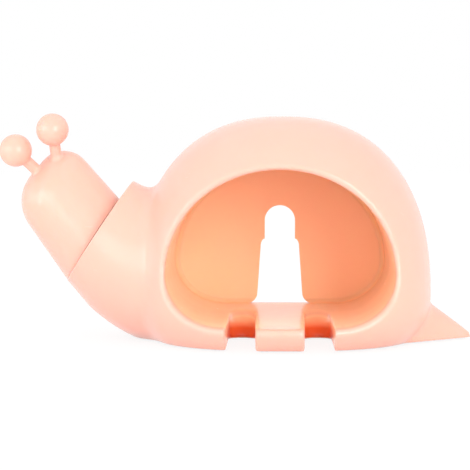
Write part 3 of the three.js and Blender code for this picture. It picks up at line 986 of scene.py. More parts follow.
@dataclass(frozen=True)
class Slot:
    """The bottle-shaped slot, with its sizes in millimetres.

    Attributes:
        neck: Width of its neck.
        top: Height of its round top.
        shoulder: Height of its shoulders.
        body: Width just below the shoulders.
        base: Width just above the foot.
        foot: Width of the flared foot.
        foot_height: Height of the flare.
    """

    neck: float = 10.9
    top: float = 43.5
    shoulder: float = 29.9
    body: float = 13.9
    base: float = 16.2
    foot: float = 21.8
    foot_height: float = 3.8

    def outline(self, mouth: Mouth) -> list[tuple[float, float]]:
        """Draws the slot.

        Args:
            mouth: The mouth whose floor the slot stands on.

        Returns:
            Corner points in X and Z.
        """
        neck, body, base, foot = (w / 2 for w in (self.neck, self.body, self.base, self.foot))
        soft = body - neck
        flare = base + self.foot_height, mouth.floor + self.foot_height
        foot_arc = arc(flare, (self.foot_height, self.foot_height), -90, -180, 8)
        shoulder = arc((neck, self.shoulder - soft), (soft, 2 * soft), 0, 90, 8)
        arch = arc((0.0, self.top - neck), (neck, neck), 0, 90, 20)
        right = [(foot, mouth.floor)] + foot_arc[1:] + shoulder + arch
        left = [(-x, z) for x, z in reversed(right[:-1])]
        return [(mouth.x + x, z) for x, z in right + left]


# ------------------------------------------------------------------ the holder


@dataclass(frozen=True)
class Neck:
    """The neck, from its collar down into the shell, with its sizes in millimetres.

    Attributes:
        seam: The seam that the collar ends at.
        shell: The shell.
        radius: Radius of the collar.
        edge: Rounding of the collar's edge.
        flare: How far that rounding starts outside the collar's radius.
        spare: How far the neck runs past the seam before it is cut off there.
        end: Height and radius that it runs to inside the shell.
        shares: Its stations, as shares of the way from the collar to the shell's middle, of
            the fall and of the growth to its end, and of the seam's tilt.
        blend: Reach of the soft crease between neck and shell.
    """

    seam: Seam
    shell: Shell
    radius: float = 20.4
    edge: float = 0.7
    flare: float = 0.2
    spare: float = 4.0
    end: tuple[float, float] = (25.3, 30.2)
    shares: tuple[tuple[float, ...], ...] = (
        (0.0, 0.0, 0.0, 1.0),
        (0.075, 0.3, 0.13, 1.0),
        (0.15, 0.61, 0.29, 0.9),
        (0.27, 0.92, 0.52, 0.57),
        (0.41, 1.0, 0.82, 0.24),
        (0.59, 1.0, 1.0, 0.0),
    )
    blend: float = 8.0

    def path(self) -> list[tuple[float, ...]]:
        """Gives the neck's stations: X, Z, tilt in degrees and radius.

        Returns:
            The stations, from the collar into the shell.
        """
        collar = self.seam.collar
        tilt = math.degrees(math.atan2(self.seam.normal.z, -self.seam.normal.x))
        end_z, end_radius = self.end
        stations = [
            (
                collar.x + (self.shell.x - collar.x) * along,
                collar.z + (end_z - collar.z) * fall,
                tilt * lean,
                self.radius + (end_radius - self.radius) * growth,
            )
            for along, fall, growth, lean in self.shares
        ]
        return smooth_path(stations, 6)

    def solid(self, inset: float, steps: int) -> bpy.types.Object:
        """Skins circles from the seam, or a little past it, down into the shell.

        Args:
            inset: How far inside the outer face it runs.
            steps: The number of steps round.

        Returns:
            The solid neck.
        """
        bm = bmesh.new()
        loops = []
        normal, collar, spare = self.seam.normal, self.seam.collar, self.spare
        if inset == 0.0:
            size = self.radius, self.radius
            loops.append(ring(bm, collar + normal * spare, normal, size, steps))
        for x, z, tilt, radius in self.path():
            lean = math.radians(tilt)
            facing = Vector((-math.cos(lean), 0.0, math.sin(lean)))
            size = radius - inset
            loops.append(ring(bm, Vector((x, 0.0, z)), facing, (size, size), steps))
        skin_rings(bm, loops)
        bmesh.ops.remove_doubles(bm, verts=bm.verts, dist=1e-3)
        return new_object("neck", bm)

    def crease(self) -> list[Vector]:
        """Gives points along the crease where the neck runs into the shell.

        Returns:
            The points.
        """
        found = []
        for x, z, tilt, radius in self.path():
            lean = math.radians(tilt)
            rise = Vector((math.sin(lean), 0.0, math.cos(lean)))
            for i in range(180):
                turn = math.tau * i / 180
                across = Axis.Y.vector * math.cos(turn)
                place = Vector((x, 0.0, z)) + (across + rise * math.sin(turn)) * radius
                clear = (self.seam.collar - place).dot(self.seam.normal) > self.blend * 0.6
                if clear and abs(self.shell.share(place) - 1.0) < 0.03:
                    found.append(place)
        return found

    def end_tool(self) -> bpy.types.Object:
        """Makes the tool that cuts the collar off at the seam and rounds its edge.

        Returns:
            The tool.
        """
        edge = self.edge
        middle = self.radius + self.flare - edge
        outline = [(0.0, 0.0)] + arc((middle, -edge), (edge, edge), 90, 0, 6)
        far = middle + 4 * self.spare
        outline += [(far, 0.0), (far, 2 * self.spare), (0.0, 2 * self.spare)]
        place = aimed(self.seam.collar, self.seam.normal)
        return spun("end", outline, 160, place)


@dataclass(frozen=True)
class Tail:
    """The flat-bottomed cone of the tail with its blunt tip, with its sizes in millimetres.

    Attributes:
        root: X where the cone starts inside the shell.
        size: Half the cone's width there, and its height.
        tip: Radius of the tip.
        steps: The number of sections that round the tip.
    """

    root: float = 51.2
    size: float = 22.5
    tip: float = 1.1
    steps: int = 13

    def solid(self, base: float, end: float) -> bpy.types.Object:
        """Skins the half-oval sections of the cone.

        Args:
            base: Height of its flat underside.
            end: X of its tip.

        Returns:
            The solid tail.
        """
        tip = self.tip
        stops = [(self.root, self.size, self.size)]
        for i in range(self.steps):
            turn = math.pi / 2 * i / (self.steps - 0.5)
            size = tip * math.cos(turn)
            stops.append((end - tip + tip * math.sin(turn), size, 2 * size))
        bm = bmesh.new()
        loops = []
        for x, width, height in stops:
            turns = [math.pi * j / 64 for j in range(65)]
            top = [(math.cos(a) * width, math.sin(a) * height) for a in turns]
            oval = top + [(-width, -2 * PAST), (width, -2 * PAST)]
            loops.append(loop(bm, [Vector((x, y, base + z)) for y, z in oval]))
        skin_rings(bm, loops)
        return new_object("tail", bm)


@dataclass(frozen=True)
class Notches:
    """The two notches in the sill and the groove behind each, with sizes in millimetres.

    Attributes:
        shell: The shell.
        mouth: The mouth whose sill they cut.
        offset: From the middle of the mouth to the middle of a notch.
        front: Width of a notch at the front.
        rear: Its width at its round end.
        end: Y of its round end.
        roll: The groove's bottom, as pairs of the way forward from the groove's rear edge and
            the depth there.
        corner: Rounding of the groove's rear corners.
        radius: Radius across the groove's bottom.
    """

    shell: Shell
    mouth: Mouth
    offset: float = 12.8
    front: float = 9.9
    rear: float = 8.8
    end: float = -4.5
    roll: tuple[tuple[float, float], ...] = ((0, 0), (18, 2.3), (22.5, 4), (25, 6.4))
    corner: float = 2.2
    radius: float = 9.0

    @property
    def centres(self) -> tuple[float, float]:
        """The X of the left and of the right notch."""
        return self.mouth.x - self.offset, self.mouth.x + self.offset

    def holds(self, x: float) -> bool:
        """Tells whether an X lies in the width of a notch, its walls included."""
        return min(abs(x - centre) for centre in self.centres) < self.front / 2 + 0.1

    def gap(self, centre: float, base: float) -> bpy.types.Object:
        """Makes the tool for one notch through the sill.

        Args:
            centre: The notch's X.
            base: Height of the body's underside.

        Returns:
            The tool.
        """
        front, rear = self.front / 2, self.rear / 2
        start = -self.shell.front - PAST
        outline = [(centre - front, start), (centre + front, start)]
        outline += arc((centre, self.end - rear), (rear, rear), 0, 180, 32)
        return prism("notch", outline, Axis.Z, base - PAST, self.mouth.floor + PAST)

    def groove(self, centre: float, base: float) -> bpy.types.Object:
        """Makes the tool for the groove that runs out into the floor behind a notch.

        Args:
            centre: The notch's X.
            base: Height of the body's underside.

        Returns:
            The tool.
        """
        half, edge, floor = self.rear / 2, self.corner, self.mouth.floor
        front = self.end - self.rear
        back = self.end + self.roll[-1][0]
        outline = [(centre - half, front), (centre + half, front)]
        outline += arc((centre + half - edge, back - edge), (edge, edge), 0, 90, 8)
        outline += arc((centre - half + edge, back - edge), (edge, edge), 90, 180, 8)
        tool = prism("groove", outline, Axis.Z, base + PAST, floor + PAST)
        rolled = smooth_path(self.roll, 6)
        path = [Vector((centre, back - way, floor - depth)) for way, depth in rolled]
        path = [2 * path[0] - path[3], *path, 5 * path[-1] - 4 * path[-2]]
        bm = bmesh.new()
        loops = []
        for before, here, after in zip(path[:1] + path, path, path[1:] + path[-1:]):
            ahead = (after - before).normalized()
            middle = here + Axis.X.vector.cross(ahead) * -self.radius
            size = self.radius, self.radius
            loops.append(ring(bm, middle, ahead, size, 96, Axis.X))
        skin_rings(bm, loops)
        combine(tool, new_object("roll", bm), Cut.KEEP)
        return tool


@dataclass(frozen=True)
class Tunnel:
    """The mouth's way through the shell, with its sizes in millimetres.

    Attributes:
        shell: The shell.
        mouth: The mouth's outline.
        wall: Y of the back wall.
        lip: Rounding of the front edge.
        ream: How far outside the mouth the reamer runs where it stays clear and where it cuts.
        ream_ends: Y of the reamer's front, Y where it starts to cut, and how far short of the
            cove it stops.
    """

    shell: Shell
    mouth: Mouth
    wall: float
    lip: float = 2.4
    ream: tuple[float, float] = (-0.06, 0.05)
    ream_ends: tuple[float, float, float] = (-33.0, -26.0, 7.0)

    def tool(self) -> bpy.types.Object:
        """Makes the tool for the mouth, with its rounded lip and a cove towards its back wall.

        Returns:
            The tool.
        """
        wall, cove, lip = self.wall, self.mouth.cove, self.lip
        sharp = [self.shell.front_y(x, z) for x, z in self.mouth.outline()]
        outer = [self.shell.front_y(x, z) for x, z in self.mouth.outline(lip)]
        stops = [(lip, [-self.shell.front - PAST] * len(sharp))]
        for i in range(9):
            t = 1.0 - i / 8
            bend = [
                (1 - t) ** 2 * (a + lip) + 2 * t * (1 - t) * a + t * t * b
                for a, b in zip(sharp, outer)
            ]
            stops.append((lip * t * t, bend))
        for in_by, ahead in cove_steps(cove, 8):
            stops.append((-in_by, [wall - cove + ahead] * len(sharp)))
        stops.append((-cove, [wall + PAST] * len(sharp)))
        bm = bmesh.new()
        loops = []
        for grown, depths in stops:
            places = zip(self.mouth.outline(grown), depths)
            loops.append(loop(bm, [Vector((x, y, z)) for (x, z), y in places]))
        skin_rings(bm, loops)
        return new_object("tunnel", bm)

    def reamer(self) -> bpy.types.Object:
        """Makes the tool that trues the mouth's walls after its skin is smoothed.

        Returns:
            The tool.
        """
        end = self.wall - self.mouth.cove
        clear, cuts = self.ream
        front, start, short = self.ream_ends
        bm = bmesh.new()
        loops = []
        for grown, y in ((clear, front), (cuts, start), (cuts, end - short), (clear, end)):
            outline = self.mouth.outline(grown, 240)
            loops.append(loop(bm, [Vector((x, y, z)) for x, z in outline]))
        skin_rings(bm, loops)
        return new_object("reamer", bm)

    def rim(self) -> list[Vector]:
        """Gives points along the edge where the mouth meets the domed front.

        Returns:
            The points.
        """
        places = self.mouth.outline(0.0, 240)
        return [Vector((x, self.shell.front_y(x, z), z)) for x, z in places]


@dataclass
class Body:
    """The main moulding: shell, neck and tail, with everything cut into them.

    Sizes are in millimetres.

    Attributes:
        shell: The shell.
        neck: The neck and its collar.
        tunnel: The mouth's way through the shell.
        notches: The notches in the sill.
        recess: The rear cover's place.
        slot: The slot, which is also cut through the cove at the mouth's back wall.
        tail: The tail.
        wall: Thickness of the walls.
        ledge: Width of the ledge that the cover rests on.
        skin_share: How far out from the shell's middle its outside starts, 1 being its face.
        notch_shade_way: How far behind the front a notch reaches its full painted shade.
        notch_shade_depth: How far under the floor the painted shade of the notches starts, and
            where it is full.
        brink_highlight_depth: How far under the floor the middle of the painted highlight on the
            grooves' top edge lies.
        voxel: The edge of one quad while the skin is smoothed.
        faces: How many faces the skin keeps after that.
    """

    shell: Shell
    neck: Neck
    tunnel: Tunnel
    notches: Notches
    recess: Recess
    slot: Slot
    tail: Tail = Tail()
    wall: float = 2.6
    ledge: float = 1.5
    skin_share: float = 0.96
    notch_shade_way: float = 24.0
    notch_shade_depth: tuple[float, float] = (1.0, 4.2)
    brink_highlight_depth: float = 0.8
    voxel: float = 0.6
    faces: int = 142000

    def __post_init__(self) -> None:
        """Reads the outer limits from the frame."""
        low, high = node_box("body_shell")
        self.base = low.z
        self.back = high.y
        self.end = high.x

    def inside(self, place: Vector) -> float:
        """Tells how far inside the mouth a place is.

        Args:
            place: The place.

        Returns:
            0 on the outside, rising to 1 of painted glow and shade a little behind the lip and
            to 2 of painted shade low in a notch, with a painted highlight on the top edge round
            the notch's end.
        """
        on_sole = place.z < self.base + 0.2
        behind_wall = place.y > self.recess.low.y + 0.5
        if on_sole or behind_wall or self.shell.share(place) > self.skin_share:
            return 0.0
        behind = place.y - self.shell.front_y(place.x, place.z)
        # painted glow and shade, full a little behind the lip
        mouth_shade = min(1.0, (behind - 1.0) / (3 * self.tunnel.lip))
        if not self.notches.holds(place.x):
            return mouth_shade
        sunk = self.tunnel.mouth.floor - place.z
        start, full = self.notch_shade_depth
        low = min(1.0, max(0.0, (sunk - start) / (full - start)))
        # painted highlight: a paler band just under the floor, where the groove's top faces up
        brink_highlight = 0.5 * max(0.0, 1.0 - abs(sunk / self.brink_highlight_depth - 1.0))
        # the painted shade in a notch grows with the way behind its front
        return mouth_shade + min(1.0, behind / self.notch_shade_way) * (low - brink_highlight)

    def hollow(self) -> bpy.types.Object:
        """Makes the tool for the space between the tunnel and the shell.

        Returns:
            The tool.
        """
        wall, seat, mouth = self.wall, self.recess.low.y, self.tunnel.mouth
        tool = self.shell.solid(wall, 64, seat - 2 * self.ledge)
        combine(tool, self.neck.solid(wall, 64), Cut.JOIN)
        way_in = self.recess.outline(-self.ledge)
        start = seat - 3 * self.ledge
        combine(tool, prism("way_in", way_in, Axis.Y, start, seat + PAST), Cut.JOIN)
        left, right = (mouth.x + side * mouth.half_width for side in (-1, 1))
        under, spring = self.base - 5 * PAST, mouth.spring
        slab = [(left, under), (right, under), (right, spring), (left, spring)]
        front, back = -self.shell.front - PAST, self.back + 2 * PAST
        combine(tool, prism("slab", slab, Axis.Y, front, back), Cut.CUT)
        grown = mouth.outline(wall, 64)
        combine(tool, prism("sleeve", grown, Axis.Y, front, back), Cut.CUT)
        combine(tool, prism("floor", SQUARE, Axis.Z, -REACH, self.base + wall), Cut.CUT)
        seam, far = self.neck.seam, REACH / 2
        beyond = [(0.0, 0.0), (far, 0.0), (far, far), (0.0, far)]
        end = aimed(seam.collar - seam.normal * wall, seam.normal)
        combine(tool, spun("beyond", beyond, 32, end), Cut.CUT)
        return tool

    def build(self, material: bpy.types.Material) -> bpy.types.Object:
        """Builds the moulding.

        Args:
            material: Its finish.

        Returns:
            The moulding.
        """
        body = self.shell.solid(0.0, 192, self.back)
        body.name = body.data.name = "body"
        combine(body, self.neck.solid(0.0, 160), Cut.JOIN)
        combine(body, self.tail.solid(self.base, self.end), Cut.JOIN)
        remesh(body, self.voxel * 1.3)
        crease = self.neck.crease()
        for spread in (1.0, 0.8, 0.6, 0.4):
            soften(body, 14, near(crease, self.neck.blend * spread))
        soften(body, 3)
        tools = self.tunnel.tool()
        for centre in self.notches.centres:
            combine(tools, self.notches.gap(centre, self.base), Cut.JOIN)
            combine(tools, self.notches.groove(centre, self.base), Cut.JOIN)
        combine(body, tools, Cut.CUT)
        combine(body, prism("table", SQUARE, Axis.Z, -REACH, self.base), Cut.CUT)
        remesh(body, self.voxel)
        rim = self.tunnel.rim()
        for spread in (1.0, 0.8, 0.6):
            soften(body, 7, near(rim, self.tunnel.lip * spread))
        soften(body, 2)
        thin_out(body, min(1.0, self.faces / len(body.data.polygons)))
        combine(body, self.tunnel.reamer(), Cut.CUT)
        combine(body, self.neck.end_tool(), Cut.CUT)
        self.cut_rear(body)
        finish_piece(body, 50.0)
        # painted glow and shade inside the mouth, and painted shade low in the notches
        mark_painted_shade(body, self.inside)
        dress(body, material, "holder", "body_shell")
        return body

    def cut_rear(self, body: bpy.types.Object) -> None:
        """Cuts what keeps sharp edges: the cover's recess, the slot, the hollow and the pockets.

        Args:
            body: The moulding.
        """
        seat, mouth = self.recess.low.y, self.tunnel.mouth
        deep = seat - mouth.cove - PAST
        for tool in (
            prism("recess", self.recess.outline(CLEAR), Axis.Y, seat - FINE_GAP, self.back + PAST),
            prism("way_out", self.slot.outline(mouth), Axis.Y, deep, seat + PAST),
            self.hollow(),
        ):
            combine(body, tool, Cut.CUT)
        for name in FEET:
            low, high = node_box(name)
            radius, top = (high.x - low.x) / 2 + CLEAR, high.z + CLEAR
            place = Vector(((low.x + high.x) / 2, (low.y + high.y) / 2, 0.0))
            pocket = [(0.0, -PAST), (radius, -PAST), (radius, top), (0.0, top)]
            combine(body, spun("pocket", pocket, 48, Matrix.Translation(place)), Cut.CUT)


@dataclass
class RearCover:
    """The flat cover with the slot and four countersunk holes.

    Attributes:
        recess: The cover's place.
        slot: The slot's sizes.
        mouth: The mouth that the slot stands in.
        edge: Rounding of its edges, in millimetres.
        sink: Room round each screw in its hole, in millimetres.
    """

    recess: Recess
    slot: Slot
    mouth: Mouth
    edge: float = 0.3
    sink: float = 0.25

    def build(self, material: bpy.types.Material) -> bpy.types.Object:
        """Builds the cover.

        Args:
            material: Its finish.

        Returns:
            The cover.
        """
        front, back = self.recess.low.y, self.recess.high.y
        cover = prism("cover", self.recess.outline(), Axis.Y, front, back)
        opening = self.slot.outline(self.mouth)
        combine(cover, prism("way_out", opening, Axis.Y, front - PAST, back + PAST), Cut.CUT)
        for number in SCREWS:
            combine(cover, CoverScrew(number).shape(self.sink, PAST), Cut.CUT)
        bm = bmesh.new()
        bm.from_mesh(cover.data)
        bmesh.ops.bevel(
            bm,
            geom=sharper(bm, 40.0),
            offset=self.edge,
            offset_type="OFFSET",
            segments=3,
            profile=0.5,
            material=-1,
            affect="EDGES",
            clamp_overlap=True,
        )
        bm.to_mesh(cover.data)
        bm.free()
        finish_piece(cover, 13.0)
        # painted glow and shade: the front face, which is seen through the mouth, takes the warmer
        # inside colour
        mark_painted_shade(cover, lambda place: float(place.y < front + self.edge))
        dress(cover, material, "holder", "rear_cover")
        return cover


@dataclass
class CoverScrew:
    """One countersunk cross-head screw.

    Sizes are in millimetres.

    Attributes:
        number: Its number, which also turns its cross.
        shank: Radius of its shank.
        length: Its length.
        head: Radius of its head.
        head_height: Height of its head.
        rim: Height of the head's straight rim.
        crown: How far the rim stands back from the face.
        arm: Half the cross's length, as a share of the head's radius.
        arm_width: Half the width of the cross's arms.
        depth: Depth of the cross.
        first_turn: The cross's turn in degrees before the first screw's own.
        turn_step: By how much each screw's cross is turned on from the last.
    """

    number: int
    shank: float = 1.5
    length: float = 9.0
    head: float = 2.7
    head_height: float = 1.7
    rim: float = 0.3
    crown: float = 0.12
    arm: float = 0.62
    arm_width: float = 0.38
    depth: float = 1.1
    first_turn: float = 45.0
    turn_step: float = 17.0

    @property
    def name(self) -> str:
        """The name of its CAD node."""
        return f"cover_screw_{self.number}"

    def place(self) -> Vector:
        """Gives the middle of its head's face, from its CAD node's box."""
        low, high = node_box(self.name)
        return Vector(((low.x + high.x) / 2, high.y, (low.z + high.z) / 2))

    def shape(self, grown: float, above: float) -> bpy.types.Object:
        """Spins the screw's outside.

        Args:
            grown: How far outside the screw the shape runs.
            above: How far it runs past the head's face.

        Returns:
            The solid screw.
        """
        head, shank = self.head + grown, self.shank + grown
        crown = self.crown if above == 0.0 else 0.0
        profile = [(0.0, -above), (head - crown, -above), (head, crown), (head, self.rim)]
        profile += [(shank, self.head_height + grown), (shank, self.length), (0.0, self.length)]
        return spun(self.name, profile, 48, aimed(self.place(), -Axis.Y.vector))

    def build(self, material: bpy.types.Material) -> bpy.types.Object:
        """Builds the screw with its cross recess.

        Args:
            material: Its finish.

        Returns:
            The screw.
        """
        screw = self.shape(0.0, 0.0)
        screw.name = f"screw_{self.number}"
        turn = math.radians(self.first_turn + self.turn_step * self.number)
        size = Matrix.Diagonal((self.head * self.arm, self.depth, self.arm_width, 1.0))
        for quarter in (0.0, math.pi / 2):
            bm = bmesh.new()
            bmesh.ops.create_cube(bm, size=2.0)
            place = Matrix.Translation(self.place()) @ Matrix.Rotation(turn + quarter, 4, "Y")
            bmesh.ops.transform(bm, matrix=place @ size, verts=bm.verts)
            combine(screw, new_object("cross", bm), Cut.CUT)
        finish_piece(screw, 30.0)
        dress(screw, material, "holder", self.name)
        return screw


@dataclass
class Foot:
    """One round rubber foot.

    Sizes are in millimetres.

    Attributes:
        name: Its CAD node's name.
        edge: Rounding of the sole's edge.
        dish: How far the middle of the sole is sunk.
        dish_share: The dish's radius, as a share of the sole's.
    """

    name: str
    edge: float = 0.35
    dish: float = 0.12
    dish_share: float = 0.6

    def build(self, material: bpy.types.Material) -> bpy.types.Object:
        """Builds the foot.

        Args:
            material: Its finish.

        Returns:
            The foot.
        """
        low, high = node_box(self.name)
        radius, edge = (high.x - low.x) / 2, self.edge
        place = Vector(((low.x + high.x) / 2, (low.y + high.y) / 2, low.z))
        profile = [(0.0, self.dish), (radius * self.dish_share, 0.0), (radius - edge, 0.0)]
        profile += arc((radius - edge, edge), (edge, edge), -90, 0, 5)[1:]
        profile += [(radius, high.z - low.z), (0.0, high.z - low.z)]
        foot = spun(self.name.replace("foot", "pad"), profile, 64, Matrix.Translation(place))
        finish_piece(foot, 40.0)
        dress(foot, material, "holder", self.name)
        return foot


# ------------------------------------------------------------------ the turning head


@dataclass
class Head:
    """The head, drawn tight round its seat and the two balls that fill it.

    Sizes are in millimetres.

    Attributes:
        seam: The seam that it turns on.
        seat_radius: Its radius at the seam.
        wedge: How far the seam gapes at its top.
        balls: The radius, X and Z of its chin and its brow.
        spare: How far the skin runs past the seam before it is cut off there.
        voxel: The edge of one quad while its skin is smoothed.
    """

    seam: Seam
    seat_radius: float = 16.0
    wedge: float = 0.45
    balls: tuple[tuple[float, float, float], ...] = ((13.7, -60.2, 47.0), (9.3, -59.2, 55.0))
    spare: float = 3.0
    voxel: float = 0.45

    def build(self, material: bpy.types.Material) -> bpy.types.Object:
        """Builds the head.

        Args:
            material: Its finish.

        Returns:
            The head.
        """
        start = self.seam.seat + self.seam.normal * FINE_GAP
        bm = bmesh.new()
        for radius, x, z in self.balls:
            place = Matrix.Translation((x, 0.0, z))
            bmesh.ops.create_uvsphere(
                bm, u_segments=96, v_segments=64, radius=radius, matrix=place
            )
        size = self.seat_radius, self.seat_radius
        for behind in (0.0, self.spare):
            ring(bm, start - self.seam.normal * behind, self.seam.normal, size, 144)
        hull = bmesh.ops.convex_hull(bm, input=bm.verts)
        loose = {
            item
            for key in ("geom_interior", "geom_unused")
            for item in hull[key]
            if isinstance(item, bmesh.types.BMVert)
        }
        bmesh.ops.delete(bm, geom=list(loose), context="VERTS")
        head = new_object("head_skin", bm)
        remesh(head, self.voxel)
        soften(head, 24)
        bm = bmesh.new()
        bm.from_mesh(head.data)
        cut = bmesh.ops.bisect_plane(
            bm,
            geom=bm.verts[:] + bm.edges[:] + bm.faces[:],
            plane_co=start - self.seam.rise * self.seat_radius,
            plane_no=self.seam.normal - self.seam.rise * (self.wedge / self.seat_radius / 2),
            clear_inner=True,
        )
        rim = [item for item in cut["geom_cut"] if isinstance(item, bmesh.types.BMEdge)]
        bmesh.ops.holes_fill(bm, edges=rim, sides=0)
        bm.to_mesh(head.data)
        bm.free()
        finish_piece(head, 40.0)
        dress(head, material, "turning_head", "head")
        return head


@dataclass
class Eye:
    """A ball on a stalk that is pressed into the head.

    Sizes are in millimetres.

    Attributes:
        node: Its CAD node's name.
        head: The head's finished piece.
        aim: The place in the head that the stalk points away from.
        ball: Radius of the ball.
        stalk: Radius of the stalk.
        root: Rounding at the stalk's foot.
        throat: Rounding under the ball.
        pin: Length of the pin in the head.
        pin_share: The pin's radius, as a share of the stalk's.
        tuck: How far the foot goes into the head at its middle and at its edge.
    """

    node: str
    head: bpy.types.Object
    aim: tuple[float, float, float] = (-60.0, 0.0, 49.3)
    ball: float = 5.5
    stalk: float = 1.9
    root: float = 1.0
    throat: float = 0.7
    pin: float = 4.0
    pin_share: float = 0.7
    tuck: tuple[float, float] = (0.4, 0.3)

    def centre(self) -> Vector:
        """Finds the ball's centre from the eye's box."""
        low, high = node_box(self.node)
        return Vector((low.x + self.ball, low.y + self.ball, high.z - self.ball))

    def build(self, material: bpy.types.Material) -> bpy.types.Object:
        """Builds the eye.

        Args:
            material: Its finish.

        Returns:
            The eye.
        """
        centre = self.centre()
        away = centre - Vector(self.aim)
        bpy.context.view_layer.update()
        skin = self.head.ray_cast((centre + MIDDLE) * MM, -away)[1] / MM - MIDDLE
        end = (centre - skin).length
        stalk, root, throat = self.stalk, self.root, self.throat
        pin, low, high = stalk * self.pin_share, -end - self.pin, -end - self.tuck[0]
        profile = [(0.0, low), (pin, low), (pin, high), (stalk + root, -end - self.tuck[1])]
        profile += [(stalk + x, z) for x, z in arc((root, root - end), (root, root), 270, 180, 8)]
        meet = math.asin((stalk + throat * 0.5) / self.ball)
        join = -self.ball * math.cos(meet)
        profile += [(stalk, join - throat), (stalk + throat * 0.15, join - throat * 0.4)]
        turns = [meet + (math.pi - meet) * i / 48 for i in range(49)]
        profile += [(self.ball * math.sin(t), -self.ball * math.cos(t)) for t in turns[:-1]]
        profile += [(0.0, self.ball)]
        eye = spun(self.node.replace("eye", "eyestalk"), profile, 96, aimed(centre, away))
        self.settle(eye, skin, away.normalized())
        finish_piece(eye, 60.0)
        dress(eye, material, "turning_head", self.node)
        return eye

    def settle(self, eye: bpy.types.Object, skin: Vector, away: Vector) -> None:
        """Lets the foot of the stalk follow the head's skin.

        Args:
            eye: The eye.
            skin: The place where the stalk's middle meets the skin.
            away: The stalk's direction.
        """
        for vert in eye.data.vertices:
            above = (vert.co - skin).dot(away)
            share = 1.0 - above / self.root
            if share > 0.0:
                start = vert.co + away * (self.ball - above)
                hit = self.head.ray_cast((start + MIDDLE) * MM, -away)[1] / MM - MIDDLE
                vert.co += away * ((hit - skin).dot(away) * min(1.0, share))


def dress_hidden(steel: bpy.types.Material, iron: bpy.types.Material) -> None:
    """Gives the CAD pieces that stay inside the body their finishes.

    Args:
        steel: The swivel's finish.
        iron: The ballast's finish.
    """
    for name, material in (
        ("swivel_washer", steel),
        ("swivel_screw", steel),
        ("ballast_block", iron),
    ):
        node = frame["nodes"][name]
        node.data.materials.clear()
        node.data.materials.append(material)
        log.info("%s: %d faces, from the frame", name, len(node.data.polygons))


# ------------------------------------------------------------------ studio


@dataclass(frozen=True)
class Softbox:
    """A soft lamp.

    Attributes:
        name: Its name.
        turn: How far it stands to the right of the front, in degrees.
        climb: How high it stands over the target, in degrees.
        away: Its distance from the target in metres.
        size: Its width and its height in metres.
        glow: How brightly it lights a white sheet that faces it at the target, 1 being white.
    """

    name: str
    turn: float
    climb: float
    away: float
    size: tuple[float, float]
    glow: float

    def build(self, target: Vector) -> bpy.types.Object:
        """Hangs the lamp.

        Args:
            target: The place that it looks at.

        Returns:
            The lamp.
        """
        turn, climb = math.radians(self.turn), math.radians(self.climb)
        level = math.cos(climb)
        toward = Vector((math.sin(turn) * level, -math.cos(turn) * level, math.sin(climb)))
        light = bpy.data.lights.new(self.name, "AREA")
        light.shape = "RECTANGLE"
        light.size, light.size_y = self.size
        light.energy = self.glow * (math.pi * self.away) ** 2
        lamp = bpy.data.objects.new(self.name, light)
        lamp.location = target + toward * self.away
        lamp.rotation_euler = (-toward).to_track_quat("-Z", "Y").to_euler()
        bpy.context.scene.collection.objects.link(lamp)
        return lamp


